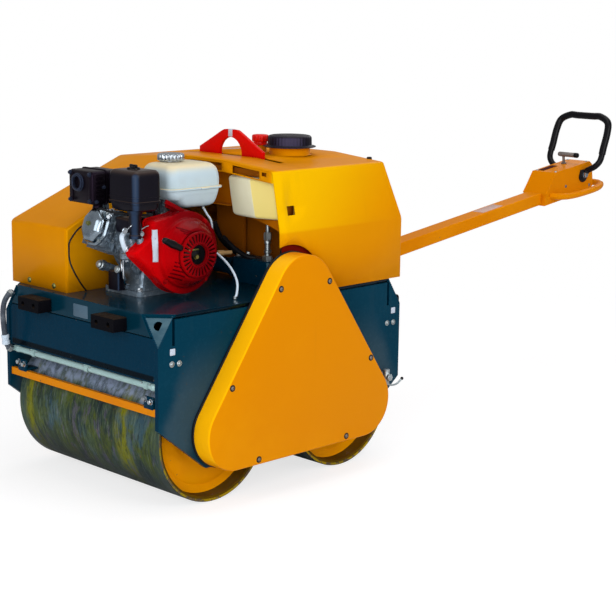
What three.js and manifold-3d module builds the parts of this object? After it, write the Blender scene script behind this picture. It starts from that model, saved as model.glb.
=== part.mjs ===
// Walk-behind vibrating roller: two smooth steel drums between a pair of thick side plates,
// an open petrol engine and a folded sheet hood on the deck, a drive-chain cover on the left
// side and a lifting drawbar with its travel hoop at the rear.
//
// Millimetres. +Z is up, -Y is forwards, +X is the machine's left side (the chain side).
// The model is laid out about the point on the ground midway between the drums, and the whole
// group is shifted at the end so that the origin is the centre of its base.
import * as THREE from "three";
import { ConvexGeometry } from "three/addons/geometries/ConvexGeometry.js";
import { mergeVertices } from "three/addons/utils/BufferGeometryUtils.js";
import Module from "manifold-3d";

const wasm = await Module();
wasm.setup();

// ---------------------------------------------------------------- driving dimensions
const CLEAR = 0.3; // gap between pieces that are fitted together

const DRUM_R = 200;
const DRUM_W = 650;
const WHEELBASE = 512;
const DRUM_RIM = 14; // shell thickness that shows round each recessed end
const DRUM_RECESS = 42; // depth of the end discs below the shell's edge
const HUB_R = 62;
const HUB_OUT = 20; // hub boss proud of its end disc
const DRUM_FACETS = 46;

const SIDE_GAP = 13; // drum end to side plate
const PLATE_T = 14;
const FRAME_PAST = 22; // side plates reach past the drums at each end
const PLATE_DROP = 13; // top edge of the side plates below the deck's top
const PLATE_HEEL = 247; // height where the front and rear edges turn in
const PLATE_BOTTOM = 112;
const HEEL_RUN = 168; // length of each sloping lower edge, along Y
const CARRIER_R = 52;
const CAP_R = 74; // bearing caps outside the right-hand plate
const CAP_T = 11;

const DECK_TOP = 558;
const DECK_T = 8;
const DECK_SET = 2; // deck edges stand back from the side plates' outer faces
const LIP_DEPTH = 58; // folded front and rear edges of the deck
const LIP_T = 8;
const CORNER_X = 57; // corner facets: cut back from the plate's outer face
const CORNER_Y = 54; // and back from the front edge
const CORNER_Z = 84; // and down from the deck
const CORNER_T = 8;
const LASH_R = 13; // lashing hole in each facet
const LASH_SLOT_W = 9;
const END_PLATE_T = 8;
const END_PLATE_LOW = 374;
const END_PLATE_GAP = 4; // shadow gap under the deck's lip
const END_PLATE_SET = 4; // end plates stand back from the lip's outer face

const BUFFER_W = 100;
const BUFFER_OUT = 46;
const BUFFER_H = 38;
const BUFFER_X = 172;
const REAR_BUFFER_W = 56;
const REAR_BUFFER_OUT = 38;
const REAR_BUFFER_H = 118;
const REAR_BUFFER_SET = 46; // rear buffers' middle to the side plate

const VALVE_SET = 74; // drain valve to the side plate's rear edge
const VALVE_Z = 256;
const SPRAY_R = 8.5;
const SPRAY_Z = 363;
const SPRAY_SHORT = 17; // the bar stops short of the right-hand plate
const SPIGOT = 6; // hose spigot proud of the front face
const SPIGOT_SET = 28; // spigot to the right-hand side plate
const SPIGOT_R = 7;
const LUG_W = 26;
const SCRAPER_H = 21;
const SCRAPER_T = 12;
const SCRAPER_Z = 282;
const SCRAPER_GAP = 6.5; // blade edge to drum

const COVER_OUT = 61.5; // depth of the chain cover
const SEAL_T = 9;
const COVER_LOW_R = 105;
const COVER_TOP_R = 113;
const COVER_LOW_Z = 214;
const COVER_TOP_Z = 571;
const COVER_EDGE = 4; // rounded edge of the cover's pressing
const SEAL_LIP = 3; // seal proud of the cover all round

const HOOD_T = 4;
const HOOD_OVER = 4; // sides proud of the side plates
const HOOD_RISE = 242; // crown of the roof above the chain cover's top
const ROOF_FALL = 16; // from the crown to the roof's side edges
const HOOD_LEAN_H = 169; // height of the leaning part of the sides
const HOOD_LEAN = 34; // sides lean in by this much up to the roof
const HOOD_CROWN_X = 120;
const HOOD_FRONT = -38; // front of the full-width part
const HOOD_REAR_SET = 2; // back of the hood to the deck's rear edge
const HOOD_REAR_LEAN = 51;
const NOSE_SET = 26; // front of the narrow part to the deck's front edge
const NOSE_INNER = -84; // its wall that faces the engine
const NOSE_TOP_Y = -74; // where its sloping top meets the roof
const PARTITION_Y = 16; // wall behind the engine, below the roof
const PARTITION_H = 134;
const PARTITION_X = 106;
const ARCH_GAP = 20; // clearance arch in the left panel round the chain cover
const LIP_H = 34; // slotted band under the front edge of the roof
const EYE_Y = 100;
const EYE_T = 12;
const EYE_HALF = 140;
const EYE_RISE = 75; // above the roof
const EYE_SLOT = 220; // half length of the roof slot
const EYE_HOLE = 50;

const CAP_X = 100; // water filler
const CAP_Y = 245;
const WATER_CAP_R = 65;
const NECK_H = 22;
const OIL_X = -5; // oil filler
const OIL_Y = 222;
const OIL_CAP_R = 24;

// Engine: crankshaft across the machine, recoil starter to the left
const CRANK_SET = 236; // crankshaft behind the deck's front edge
const CRANK_RISE = 129; // and above the deck
const BLOCK_X0 = -40;
const BLOCK_X1 = 150; // crankcase side that carries the fan cover
const BASE_T = 14;
const BASE_X0 = -62;
const BASE_X1 = 104;
const BASE_L = 195;
const CYL_X = 30;
const CYL_TILT = 21.5; // degrees above the horizontal
const HEAD_S = 196; // crankshaft to the head's joint face
const FINS = 7;
const FIN_PITCH = 13;
const FIN_T = 5;
const FAN_R = 116;
const FAN_T = 54;
const DUCT_REACH = 180; // tip of its lower duct, forward of the crankshaft
const SHOULDER_REACH = 121; // upper front corner, forward of the crankshaft
const SHOULDER_RISE = 100;
const RECOIL_R = 90;
const RECOIL_R2 = 69;
const RECOIL_T = 34;
const RING_R = 65;
const RING_HOLE = 30;
const RING_T = 9;
const RING_SLOTS = 24;
const GRIP_L = 76;
const GRIP_H = 18;
const GRIP_T = 22;
const GRIP_TURN = -26; // degrees
// muffler, air cleaner and fuel tank: heights above the crankshaft
const MUFFLER_LOW = 132;
const MUFFLER_TOP = 225;
const CLEANER_LOW = 151;
const CLEANER_TOP = 237;
const BOWL_LOW = 126;
const INTAKE_LOW = 51;
const INTAKE_R = 17;
const TANK_TOP = 242;
const TANK_SEAM = 172;
const TANK_LOW = 141;
const SUMP_LOW = 117;
const TANK_X0 = 22;
const TANK_X1 = 165;
const TANK_FRONT = -34; // from the crankshaft
const TANK_REAR = 160;
const FUEL_CAP_R = 38;

const BAR_PIVOT_SET = 39; // hinge pin behind the deck's rear edge
const BAR_PIVOT_DROP = 39; // and below the deck's top
const BAR_ANGLE = 8; // degrees above the horizontal, on its lower stop
const BAR_W = 68;
const BAR_H = 44;
const BAR_LEN = 1108;
const PIVOT_R = 12;
const EAR_T = 12;
const HEAD_W = 104;
const HEAD_LAP = 8; // console head over the bar's end
const HEAD_L = 308;
const HEAD_TOP = 86;
const HEAD_LOW = -24;
const HOOP_BACK = 66; // hoop's pivot to the head's rear face
const HOOP_N = 45;
const HOOP_HALF = 116;
const HOOP_H = 229;
const HOOP_LEAN = 28;
const HOOP_R = 11.5;

// ---------------------------------------------------------------- sizes that follow
const AXLE_Y = WHEELBASE / 2;
const REAR = AXLE_Y + DRUM_R + FRAME_PAST;
const FRONT = -REAR;
const PLATE_IN = DRUM_W / 2 + SIDE_GAP;
const PLATE_OUT = PLATE_IN + PLATE_T;
const PLATE_TOP = DECK_TOP - PLATE_DROP;
const HOOD_HALF_W = PLATE_OUT + HOOD_OVER;
const HOOD_EDGE_X = HOOD_HALF_W - HOOD_LEAN;
const HOOD_BOTTOM = DECK_TOP + CLEAR;
const HOOD_CROWN = COVER_TOP_Z + COVER_TOP_R + HOOD_RISE;
const HOOD_EDGE = HOOD_CROWN - ROOF_FALL; // roof height at its side edges
const HOOD_FOLD = HOOD_EDGE - HOOD_LEAN_H; // where the sides start to lean in
const ABOVE_HOOD = HOOD_CROWN + 34; // clear of the roof, for cuts
const HOOD_REAR = REAR - HOOD_REAR_SET;
const HOOD_REAR_TOP = HOOD_REAR - HOOD_REAR_LEAN;
const NOSE_FRONT = FRONT + NOSE_SET;
const EYE_TOP = HOOD_CROWN + EYE_RISE;
const SPIGOT_X = SPIGOT_SET - PLATE_IN;
const CRANK_Y = FRONT + CRANK_SET;
const CRANK_Z = DECK_TOP + CRANK_RISE;
const BAR_PIVOT_Y = REAR + BAR_PIVOT_SET;
const BAR_PIVOT_Z = DECK_TOP - BAR_PIVOT_DROP;
const HEAD_S0 = BAR_LEN - HEAD_LAP; // console head, along the bar from the pivot
const HEAD_S1 = HEAD_S0 + HEAD_L;
const HOOP_S = HEAD_S1 - HOOP_BACK;
const HUB_X = DRUM_W / 2 - DRUM_RECESS + HUB_OUT;
const COVER_BACK = PLATE_OUT + SEAL_T;
const COVER_FACE = COVER_BACK + COVER_OUT;
const LIP_LOW = DECK_TOP - LIP_DEPTH;
const rad = THREE.MathUtils.degToRad;

// ---------------------------------------------------------------- solids
// Every helper returns a BufferGeometry in its final place, so pieces join and cut directly.
function solidOf(geometry) {
  const flat = geometry.index ? geometry.toNonIndexed() : geometry;
  const bare = new THREE.BufferGeometry();
  bare.setAttribute("position", flat.getAttribute("position"));
  const merged = mergeVertices(bare, 1e-4);
  return new wasm.Manifold(
    new wasm.Mesh({
      numProp: 3,
      vertProperties: new Float32Array(merged.attributes.position.array),
      triVerts: new Uint32Array(merged.index.array),
    }),
  );
}
function geometryOf(solid) {
  const m = solid.getMesh();
  const g = new THREE.BufferGeometry();
  const p = new Float32Array(m.numVert * 3);
  for (let i = 0; i < m.numVert; i++)
    for (let k = 0; k < 3; k++) p[3 * i + k] = m.vertProperties[m.numProp * i + k];
  g.setAttribute("position", new THREE.BufferAttribute(p, 3));
  g.setIndex(new THREE.BufferAttribute(new Uint32Array(m.triVerts), 1));
  return g;
}
const join = (...g) => geometryOf(g.map(solidOf).reduce((a, b) => a.add(b)));
const cut = (body, ...tools) =>
  geometryOf(tools.map(solidOf).reduce((a, b) => a.subtract(b), solidOf(body)));
const common = (a, b) => geometryOf(solidOf(a).intersect(solidOf(b)));

function box(x0, x1, y0, y1, z0, z1) {
  return new THREE.BoxGeometry(x1 - x0, y1 - y0, z1 - z0).translate(
    (x0 + x1) / 2,
    (y0 + y1) / 2,
    (z0 + z1) / 2,
  );
}
// Extrusions: the outline's (a, b) run along (Y, Z), (X, Z) or (X, Y).
const PLANES = {
  x: new THREE.Matrix4().set(0, 0, 1, 0, 1, 0, 0, 0, 0, 1, 0, 0, 0, 0, 0, 1),
  y: new THREE.Matrix4().set(1, 0, 0, 0, 0, 0, -1, 0, 0, 1, 0, 0, 0, 0, 0, 1),
  z: new THREE.Matrix4(),
};
function extrude(axis, outline, from, to, options = {}) {
  const { edge = 0, curveSegments = 12 } = options;
  const shape = Array.isArray(outline)
    ? new THREE.Shape(outline.map(([a, b]) => new THREE.Vector2(a, b)))
    : outline;
  const g = new THREE.ExtrudeGeometry(shape, {
    depth: to - from - 2 * edge,
    bevelEnabled: edge > 0,
    bevelThickness: edge,
    bevelSize: edge,
    bevelOffset: -edge,
    bevelSegments: 2,
    curveSegments,
  });
  g.translate(0, 0, axis === "y" ? -to + edge : from + edge);
  return g.applyMatrix4(PLANES[axis]);
}
function rod(axis, a, b, r, from, to, facets = 32, r2 = r) {
  const g = new THREE.CylinderGeometry(r2, r, to - from, facets);
  const mid = (from + to) / 2;
  if (axis === "x") return g.rotateZ(-Math.PI / 2).translate(mid, a, b);
  if (axis === "y") return g.translate(a, mid, b);
  return g.rotateX(Math.PI / 2).translate(a, b, mid);
}
// A body of revolution about X: profile points are [radius, x], first and last on the axis.
function revolveX(profile, y, z, facets) {
  const points = profile.map(([r, x]) => new THREE.Vector2(r, x));
  return new THREE.LatheGeometry(points, facets).rotateZ(-Math.PI / 2).translate(0, y, z);
}
const hull = (points) => new ConvexGeometry(points.map((p) => new THREE.Vector3(...p)));
function pipe(points, r, sides = 10, steps = 40, tension = 0.5) {
  const path = new THREE.CatmullRomCurve3(
    points.map((p) => new THREE.Vector3(...p)),
    false,
    "catmullrom",
    tension,
  );
  const section = new THREE.Shape();
  section.absarc(0, 0, r, 0, 2 * Math.PI, false);
  return new THREE.ExtrudeGeometry(section, {
    steps,
    extrudePath: path,
    curveSegments: sides / 2,
    bevelEnabled: false,
  });
}
function roundedRect(a0, a1, b0, b1, r) {
  const s = new THREE.Shape();
  s.moveTo(a0 + r, b0);
  s.lineTo(a1 - r, b0);
  s.absarc(a1 - r, b0 + r, r, -Math.PI / 2, 0, false);
  s.lineTo(a1, b1 - r);
  s.absarc(a1 - r, b1 - r, r, 0, Math.PI / 2, false);
  s.lineTo(a0 + r, b1);
  s.absarc(a0 + r, b1 - r, r, Math.PI / 2, Math.PI, false);
  s.lineTo(a0, b0 + r);
  s.absarc(a0 + r, b0 + r, r, Math.PI, 1.5 * Math.PI, false);
  return s;
}

// ---------------------------------------------------------------- finishes
const paint = (color, roughness = 0.45, metalness = 0.1) =>
  new THREE.MeshStandardMaterial({ color, roughness, metalness });
const FINISH = {
  teal: paint(0x14384c, 0.45),
  yellow: paint(0xe39a00, 0.4),
  orange: paint(0xe8870a, 0.4),
  red: paint(0xc4060c, 0.4),
  black: paint(0x17181c, 0.5),
  rubber: paint(0x15151a, 0.85, 0),
  drum: paint(0x5d5c4a, 0.6, 0.7),
  zinc: paint(0xaab4b0, 0.4, 0.9),
  chrome: paint(0xd8dde0, 0.12, 1),
  alloy: paint(0x8d9aa0, 0.45, 0.8),
  white: paint(0xdfe3df, 0.5, 0),
  cream: paint(0xe4d6a4, 0.55, 0),
};

const roller = new THREE.Group();
roller.name = "walk_behind_roller";
function add(name, geometry, finish, parent = roller) {
  const mesh = new THREE.Mesh(geometry, FINISH[finish]);
  mesh.name = name;
  parent.add(mesh);
  return mesh;
}

// ---------------------------------------------------------------- drums
function drum(y) {
  const end = DRUM_W / 2;
  const disc = end - DRUM_RECESS;
  const half = [
    [0, HUB_X],
    [HUB_R, HUB_X],
    [HUB_R + 8, disc],
    [DRUM_R - DRUM_RIM - 4, disc],
    [DRUM_R - DRUM_RIM, end],
    [DRUM_R, end],
  ];
  const profile = [...half.map(([r, x]) => [r, -x]), ...half.reverse()];
  return revolveX(profile, y, DRUM_R, DRUM_FACETS);
}
add("drum_front", drum(-AXLE_Y), "drum");
add("drum_rear", drum(AXLE_Y), "drum");

// ---------------------------------------------------------------- side plates
// Outline in (Y, Z): upright ends, lower edges that slope in towards the axles.
const plateOutline = [
  [FRONT, PLATE_HEEL],
  [FRONT + HEEL_RUN, PLATE_BOTTOM],
  [REAR - HEEL_RUN, PLATE_BOTTOM],
  [REAR, PLATE_HEEL],
  [REAR, PLATE_TOP],
  [FRONT, PLATE_TOP],
];
// One corner facet: the plane through three points cut back along X, Y and Z from the corner.
function cornerPoints(sx, sy, grow = 0) {
  const k = 1 + grow;
  const x = sx * PLATE_OUT;
  const y = sy * REAR;
  return [
    [x - sx * CORNER_X * k, y, DECK_TOP],
    [x, y - sy * CORNER_Y * k, DECK_TOP],
    [x, y, DECK_TOP - CORNER_Z * k],
  ];
}
function cornerFrame(sx, sy) {
  const [a, b, c] = cornerPoints(sx, sy).map((p) => new THREE.Vector3(...p));
  const normal = new THREE.Vector3().crossVectors(b.clone().sub(a), c.clone().sub(a)).normalize();
  if (normal.x * sx < 0) normal.negate();
  return { a, b, c, normal };
}
// Everything outside the facet's plane, moved inwards by inset.
function cornerCutter(sx, sy, inset = 0) {
  const { a, b, c, normal } = cornerFrame(sx, sy);
  const spread = (p) => {
    const mid = a.clone().add(b).add(c).divideScalar(3);
    return p.clone().sub(mid).multiplyScalar(3).add(mid).addScaledVector(normal, -inset);
  };
  const base = [a, b, c].map(spread);
  const top = base.map((p) => p.clone().addScaledVector(normal, 160));
  return hull([...base, ...top].map((p) => p.toArray()));
}
function cornerGusset(sx, sy) {
  const { a, b, c, normal } = cornerFrame(sx, sy);
  const inner = [a, b, c].map((p) => p.clone().addScaledVector(normal, -CORNER_T));
  const plate = hull([a, b, c, ...inner].map((p) => p.toArray()));
  const mid = a.clone().add(b).add(c).divideScalar(3);
  const hole = new THREE.CylinderGeometry(LASH_R, LASH_R, 4 * CORNER_T, 16);
  const turn = new THREE.Quaternion().setFromUnitVectors(new THREE.Vector3(0, 1, 0), normal);
  hole.applyQuaternion(turn).translate(mid.x, mid.y, mid.z);
  const limit = box(-PLATE_OUT, PLATE_OUT, FRONT, REAR, 0, DECK_TOP - DECK_T - CLEAR);
  return common(cut(plate, hole), limit);
}
function sidePlate(sx) {
  const x0 = Math.min(sx * PLATE_IN, sx * PLATE_OUT);
  let plate = extrude("x", plateOutline, x0, x0 + PLATE_T);
  for (const sy of [-1, 1]) {
    plate = cut(plate, cornerCutter(sx, sy));
    plate = join(plate, cornerGusset(sx, sy));
    const y = sy * (REAR - CORNER_Y);
    const slot = box(
      x0 - 1,
      x0 + PLATE_T + 1,
      y - LASH_SLOT_W / 2,
      y + LASH_SLOT_W / 2,
      DECK_TOP - CORNER_Z,
      PLATE_TOP + 1,
    );
    plate = cut(plate, slot);
    // bearing carrier that the drum's hub runs against
    const near = Math.min(sx * (HUB_X + CLEAR), sx * (PLATE_IN + 1));
    const far = Math.max(sx * (HUB_X + CLEAR), sx * (PLATE_IN + 1));
    plate = join(plate, rod("x", sy * AXLE_Y, DRUM_R, CARRIER_R, near, far, 24));
    if (sx < 0)
      plate = join(
        plate,
        rod("x", sy * AXLE_Y, DRUM_R, CAP_R, -PLATE_OUT - CAP_T, -PLATE_OUT + 1, 24),
      );
  }
  return plate;
}
add("side_plate_left", sidePlate(1), "teal");
add("side_plate_right", sidePlate(-1), "teal");

// ---------------------------------------------------------------- deck and end plates
function deck() {
  const half = PLATE_OUT - DECK_SET;
  let d = box(-half, half, FRONT, REAR, DECK_TOP - DECK_T, DECK_TOP);
  const lipX = PLATE_IN - CLEAR;
  for (const sy of [-1, 1]) {
    const y0 = sy < 0 ? FRONT : REAR - LIP_T;
    d = join(d, box(-lipX, lipX, y0, y0 + LIP_T, LIP_LOW, DECK_TOP - 1));
    for (const sx of [-1, 1]) d = cut(d, cornerCutter(sx, sy, CORNER_T + CLEAR));
  }
  // packing strips between deck and side plates, set back to leave a dark groove
  const room = REAR - CORNER_Y - CORNER_T - 40;
  for (const sx of [-1, 1]) {
    const x = sx * (PLATE_OUT - 9);
    d = join(d, box(x - 3, x + 3, -room, room, PLATE_TOP + CLEAR, DECK_TOP - 1));
  }
  return d;
}
add("deck", deck(), "teal");
function endPlate(sy) {
  const y = sy * (REAR - END_PLATE_SET);
  const y0 = Math.min(y, y - sy * END_PLATE_T);
  const x = PLATE_IN - CLEAR;
  let p = box(-x, x, y0, y0 + END_PLATE_T, END_PLATE_LOW, LIP_LOW - END_PLATE_GAP);
  for (const sx of [-1, 1]) p = cut(p, cornerCutter(sx, sy, CORNER_T + CLEAR));
  return p;
}
add("front_plate", endPlate(-1), "teal");
add("rear_plate", endPlate(1), "teal");

// ---------------------------------------------------------------- buffers
function frontBuffer(x) {
  const y1 = FRONT - CLEAR;
  const z0 = LIP_LOW + 2;
  const block = extrude(
    "y",
    roundedRect(x - BUFFER_W / 2, x + BUFFER_W / 2, z0, z0 + BUFFER_H, 3),
    y1 - BUFFER_OUT,
    y1,
    { curveSegments: 2 },
  );
  // two counterbored fixing holes in the outer face
  const holes = [-1, 1].map((s) =>
    rod("y", x + s * BUFFER_W * 0.26, z0 + BUFFER_H / 2, 7, y1 - BUFFER_OUT - 1, y1 - 16, 12),
  );
  return cut(block, ...holes);
}
add("front_buffer_left", frontBuffer(BUFFER_X), "rubber");
add("front_buffer_right", frontBuffer(-BUFFER_X), "rubber");
function rearBuffer(x) {
  const y0 = REAR - END_PLATE_SET + CLEAR;
  const y1 = y0 + REAR_BUFFER_OUT;
  const top = LIP_LOW - END_PLATE_GAP - 2;
  const low = top - REAR_BUFFER_H;
  const shape = new THREE.Shape();
  shape.moveTo(y0, low);
  shape.lineTo(y1 - 14, low);
  shape.quadraticCurveTo(y1, low + 4, y1, low + 26);
  shape.lineTo(y1, top - 10);
  shape.quadraticCurveTo(y1 - 2, top, y1 - 12, top);
  shape.lineTo(y0 + 12, top);
  shape.quadraticCurveTo(y0 + 22, top - 18, y0, top - 34);
  return extrude("x", shape, x - REAR_BUFFER_W / 2, x + REAR_BUFFER_W / 2, { curveSegments: 5 });
}
add("rear_buffer_left", rearBuffer(PLATE_IN - REAR_BUFFER_SET), "rubber");
add("rear_buffer_right", rearBuffer(REAR_BUFFER_SET - PLATE_IN), "rubber");

// ---------------------------------------------------------------- spray bars and scrapers
function sprayBar(sy) {
  const y = sy * (REAR - END_PLATE_SET - END_PLATE_T / 2);
  const x1 = PLATE_IN - CLEAR - 2;
  const x0 = -PLATE_IN + SPRAY_SHORT;
  let bar = rod("x", y, SPRAY_Z, SPRAY_R, x0, x1, 12);
  const lugTop = END_PLATE_LOW - CLEAR;
  for (const t of [0.1, 0.52, 0.94]) {
    const x = x0 + (x1 - x0) * t;
    const face = [
      [x - LUG_W, SPRAY_Z],
      [x + LUG_W, SPRAY_Z],
      [x + LUG_W / 2, lugTop],
      [x - LUG_W / 2, lugTop],
    ];
    bar = join(bar, extrude("y", face, y - 4, y + 4));
  }
  const tip = sy * (REAR + SPIGOT);
  bar = join(bar, rod("y", SPIGOT_X, SPRAY_Z + 2, SPIGOT_R, Math.min(y, tip), Math.max(y, tip), 12));
  return bar;
}
add("spray_bar_front", sprayBar(-1), "zinc");
add("spray_bar_rear", sprayBar(1), "zinc");
function scraper(sy) {
  const outer = sy * (REAR - 5);
  const inner = outer - sy * SCRAPER_T;
  const x = PLATE_IN - CLEAR;
  const bar = box(
    -x,
    x,
    Math.min(inner, outer),
    Math.max(inner, outer),
    SCRAPER_Z,
    SCRAPER_Z + SCRAPER_H,
  );
  // blade: a thin strip from the bar towards the drum, its edge a running gap away
  const reach = Math.sqrt(DRUM_R ** 2 - (SCRAPER_Z - DRUM_R) ** 2);
  const edge = sy * (AXLE_Y + reach + SCRAPER_GAP);
  const w = DRUM_W / 2 - 4;
  const blade = hull(
    [-w, w].flatMap((bx) => [
      [bx, inner + sy, SCRAPER_Z + 1],
      [bx, inner + sy, SCRAPER_Z + 7],
      [bx, edge, SCRAPER_Z + 1],
      [bx, edge + sy * 3, SCRAPER_Z + 6],
    ]),
  );
  return join(bar, blade);
}
add("scraper_front", scraper(-1), "orange");
add("scraper_rear", scraper(1), "orange");

// ---------------------------------------------------------------- chain cover
// Outline in (Y, Z): a rounded triangle, tangent lines between two low arcs and a top arc.
function coverOutline(grow = 0) {
  const low = COVER_LOW_R + grow;
  const top = COVER_TOP_R + grow;
  const rise = COVER_TOP_Z - COVER_LOW_Z;
  const along = Math.hypot(AXLE_Y, rise);
  // direction in which the right-hand tangent line faces
  const face = Math.atan2(AXLE_Y, rise) + Math.asin((top - low) / along);
  const s = new THREE.Shape();
  s.absarc(AXLE_Y, COVER_LOW_Z, low, -Math.PI / 2, face, false);
  s.absarc(0, COVER_TOP_Z, top, face, Math.PI - face, false);
  s.absarc(-AXLE_Y, COVER_LOW_Z, low, Math.PI - face, 1.5 * Math.PI, false);
  return s;
}
add(
  "chain_cover",
  extrude("x", coverOutline(), COVER_BACK, COVER_FACE, { edge: COVER_EDGE, curveSegments: 10 }),
  "yellow",
);
add(
  "chain_cover_seal",
  extrude("x", coverOutline(SEAL_LIP), PLATE_OUT + CLEAR, COVER_BACK - CLEAR, {
    curveSegments: 10,
  }),
  "rubber",
);

// ---------------------------------------------------------------- hood
// Full-width rear body and the narrow nose beside the engine, both as closed outer forms.
function hoodBody(inset = 0) {
  const t = inset;
  const w = HOOD_HALF_W - t;
  const front = HOOD_FRONT + t;
  const z0 = HOOD_BOTTOM - (t ? 20 : 0);
  const ring = (x, y0, y1, z) => [
    [-x, y0, z],
    [x, y0, z],
    [-x, y1, z],
    [x, y1, z],
  ];
  return hull([
    ...ring(w, front, HOOD_REAR - t, z0),
    ...ring(w, front, HOOD_REAR - t, HOOD_FOLD),
    ...ring(HOOD_EDGE_X - t, front, HOOD_REAR_TOP - t, HOOD_EDGE - t),
    ...ring(HOOD_CROWN_X, front, HOOD_REAR_TOP - t, HOOD_CROWN - t),
  ]);
}
function hoodNose(inset = 0) {
  const t = inset;
  const z0 = HOOD_BOTTOM - (t ? 20 : 0);
  const x0 = -HOOD_HALF_W + t;
  const x1 = NOSE_INNER - t;
  const back = HOOD_FRONT + (t ? 30 : 6);
  const y0 = NOSE_FRONT + t;
  return hull([
    [x0, y0, z0],
    [x1, y0, z0],
    [x0, back, z0],
    [x1, back, z0],
    [x0, y0, HOOD_FOLD - t],
    [x1, y0, HOOD_FOLD - t],
    [x0, back, HOOD_FOLD],
    [x1, back, HOOD_FOLD],
    [-HOOD_EDGE_X + t, NOSE_TOP_Y, HOOD_EDGE - t],
    [-HOOD_EDGE_X + t, back, HOOD_EDGE - t],
    [-HOOD_CROWN_X, NOSE_TOP_Y, HOOD_CROWN - t],
    [-HOOD_CROWN_X, back, HOOD_CROWN - t],
    [x1, NOSE_TOP_Y, HOOD_CROWN - t],
    [x1, back, HOOD_CROWN - t],
  ]);
}
function hoodShell() {
  const shell = cut(join(hoodBody(), hoodNose()), hoodBody(HOOD_T), hoodNose(HOOD_T));
  // the rear body is open at its front
  const mouth = [
    [NOSE_INNER, HOOD_BOTTOM - 20],
    [HOOD_HALF_W - HOOD_T, HOOD_BOTTOM - 20],
    [HOOD_HALF_W - HOOD_T, HOOD_FOLD],
    [HOOD_EDGE_X - HOOD_T, HOOD_EDGE - HOOD_T],
    [HOOD_CROWN_X, HOOD_CROWN - HOOD_T],
    [NOSE_INNER, HOOD_CROWN - HOOD_T],
  ];
  return cut(shell, extrude("y", mouth, HOOD_FRONT - 1, HOOD_FRONT + HOOD_T + 1));
}
const shell = hoodShell();
const roofCutZ = HOOD_EDGE - HOOD_T;
const rearOutline = (gap) => [
  [HOOD_REAR - HOOD_T - gap, HOOD_BOTTOM - 40],
  [HOOD_REAR - HOOD_T - gap, HOOD_FOLD],
  [HOOD_REAR_TOP - HOOD_T - gap, roofCutZ - CLEAR / 2],
  [HOOD_REAR + 60, roofCutZ - CLEAR / 2],
  [HOOD_REAR + 60, HOOD_BOTTOM - 40],
];
const wide = HOOD_HALF_W + 20;
const sideOutline = [
  [NOSE_FRONT - 20, HOOD_BOTTOM - 40],
  [HOOD_REAR - HOOD_T - CLEAR, HOOD_BOTTOM - 40],
  [HOOD_REAR - HOOD_T - CLEAR, HOOD_FOLD],
  [HOOD_REAR_TOP - HOOD_T - CLEAR, roofCutZ - CLEAR / 2],
  [NOSE_FRONT - 20, roofCutZ - CLEAR / 2],
];
function hoodLeft() {
  let panel = common(shell, extrude("x", sideOutline, NOSE_INNER + 60, wide));
  const arch = extrude("x", coverOutline(ARCH_GAP), HOOD_EDGE_X - 30, wide, { curveSegments: 16 });
  // the strip in front of the arch and the band below it are cut away as well
  const below = box(HOOD_EDGE_X - 30, wide, HOOD_FRONT - 20, 0, HOOD_BOTTOM - 20, COVER_TOP_Z + 60);
  const window = box(HOOD_EDGE_X - 30, wide, 0, 30, HOOD_FOLD + 45, HOOD_FOLD + 71);
  panel = cut(panel, arch, below, window);
  return panel;
}
add("hood_left_panel", hoodLeft(), "yellow");
function hoodRight() {
  const sides = common(shell, extrude("x", sideOutline, -wide, NOSE_INNER + 1));
  const noseTop = common(
    shell,
    box(-wide, NOSE_INNER + 1, NOSE_FRONT - 20, NOSE_TOP_Y - CLEAR, HOOD_BOTTOM - 40, ABOVE_HOOD),
  );
  return join(sides, noseTop);
}
add("hood_right_panel", hoodRight(), "yellow");
add("hood_rear_panel", common(shell, extrude("x", rearOutline(0), -wide, wide)), "yellow");

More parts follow.
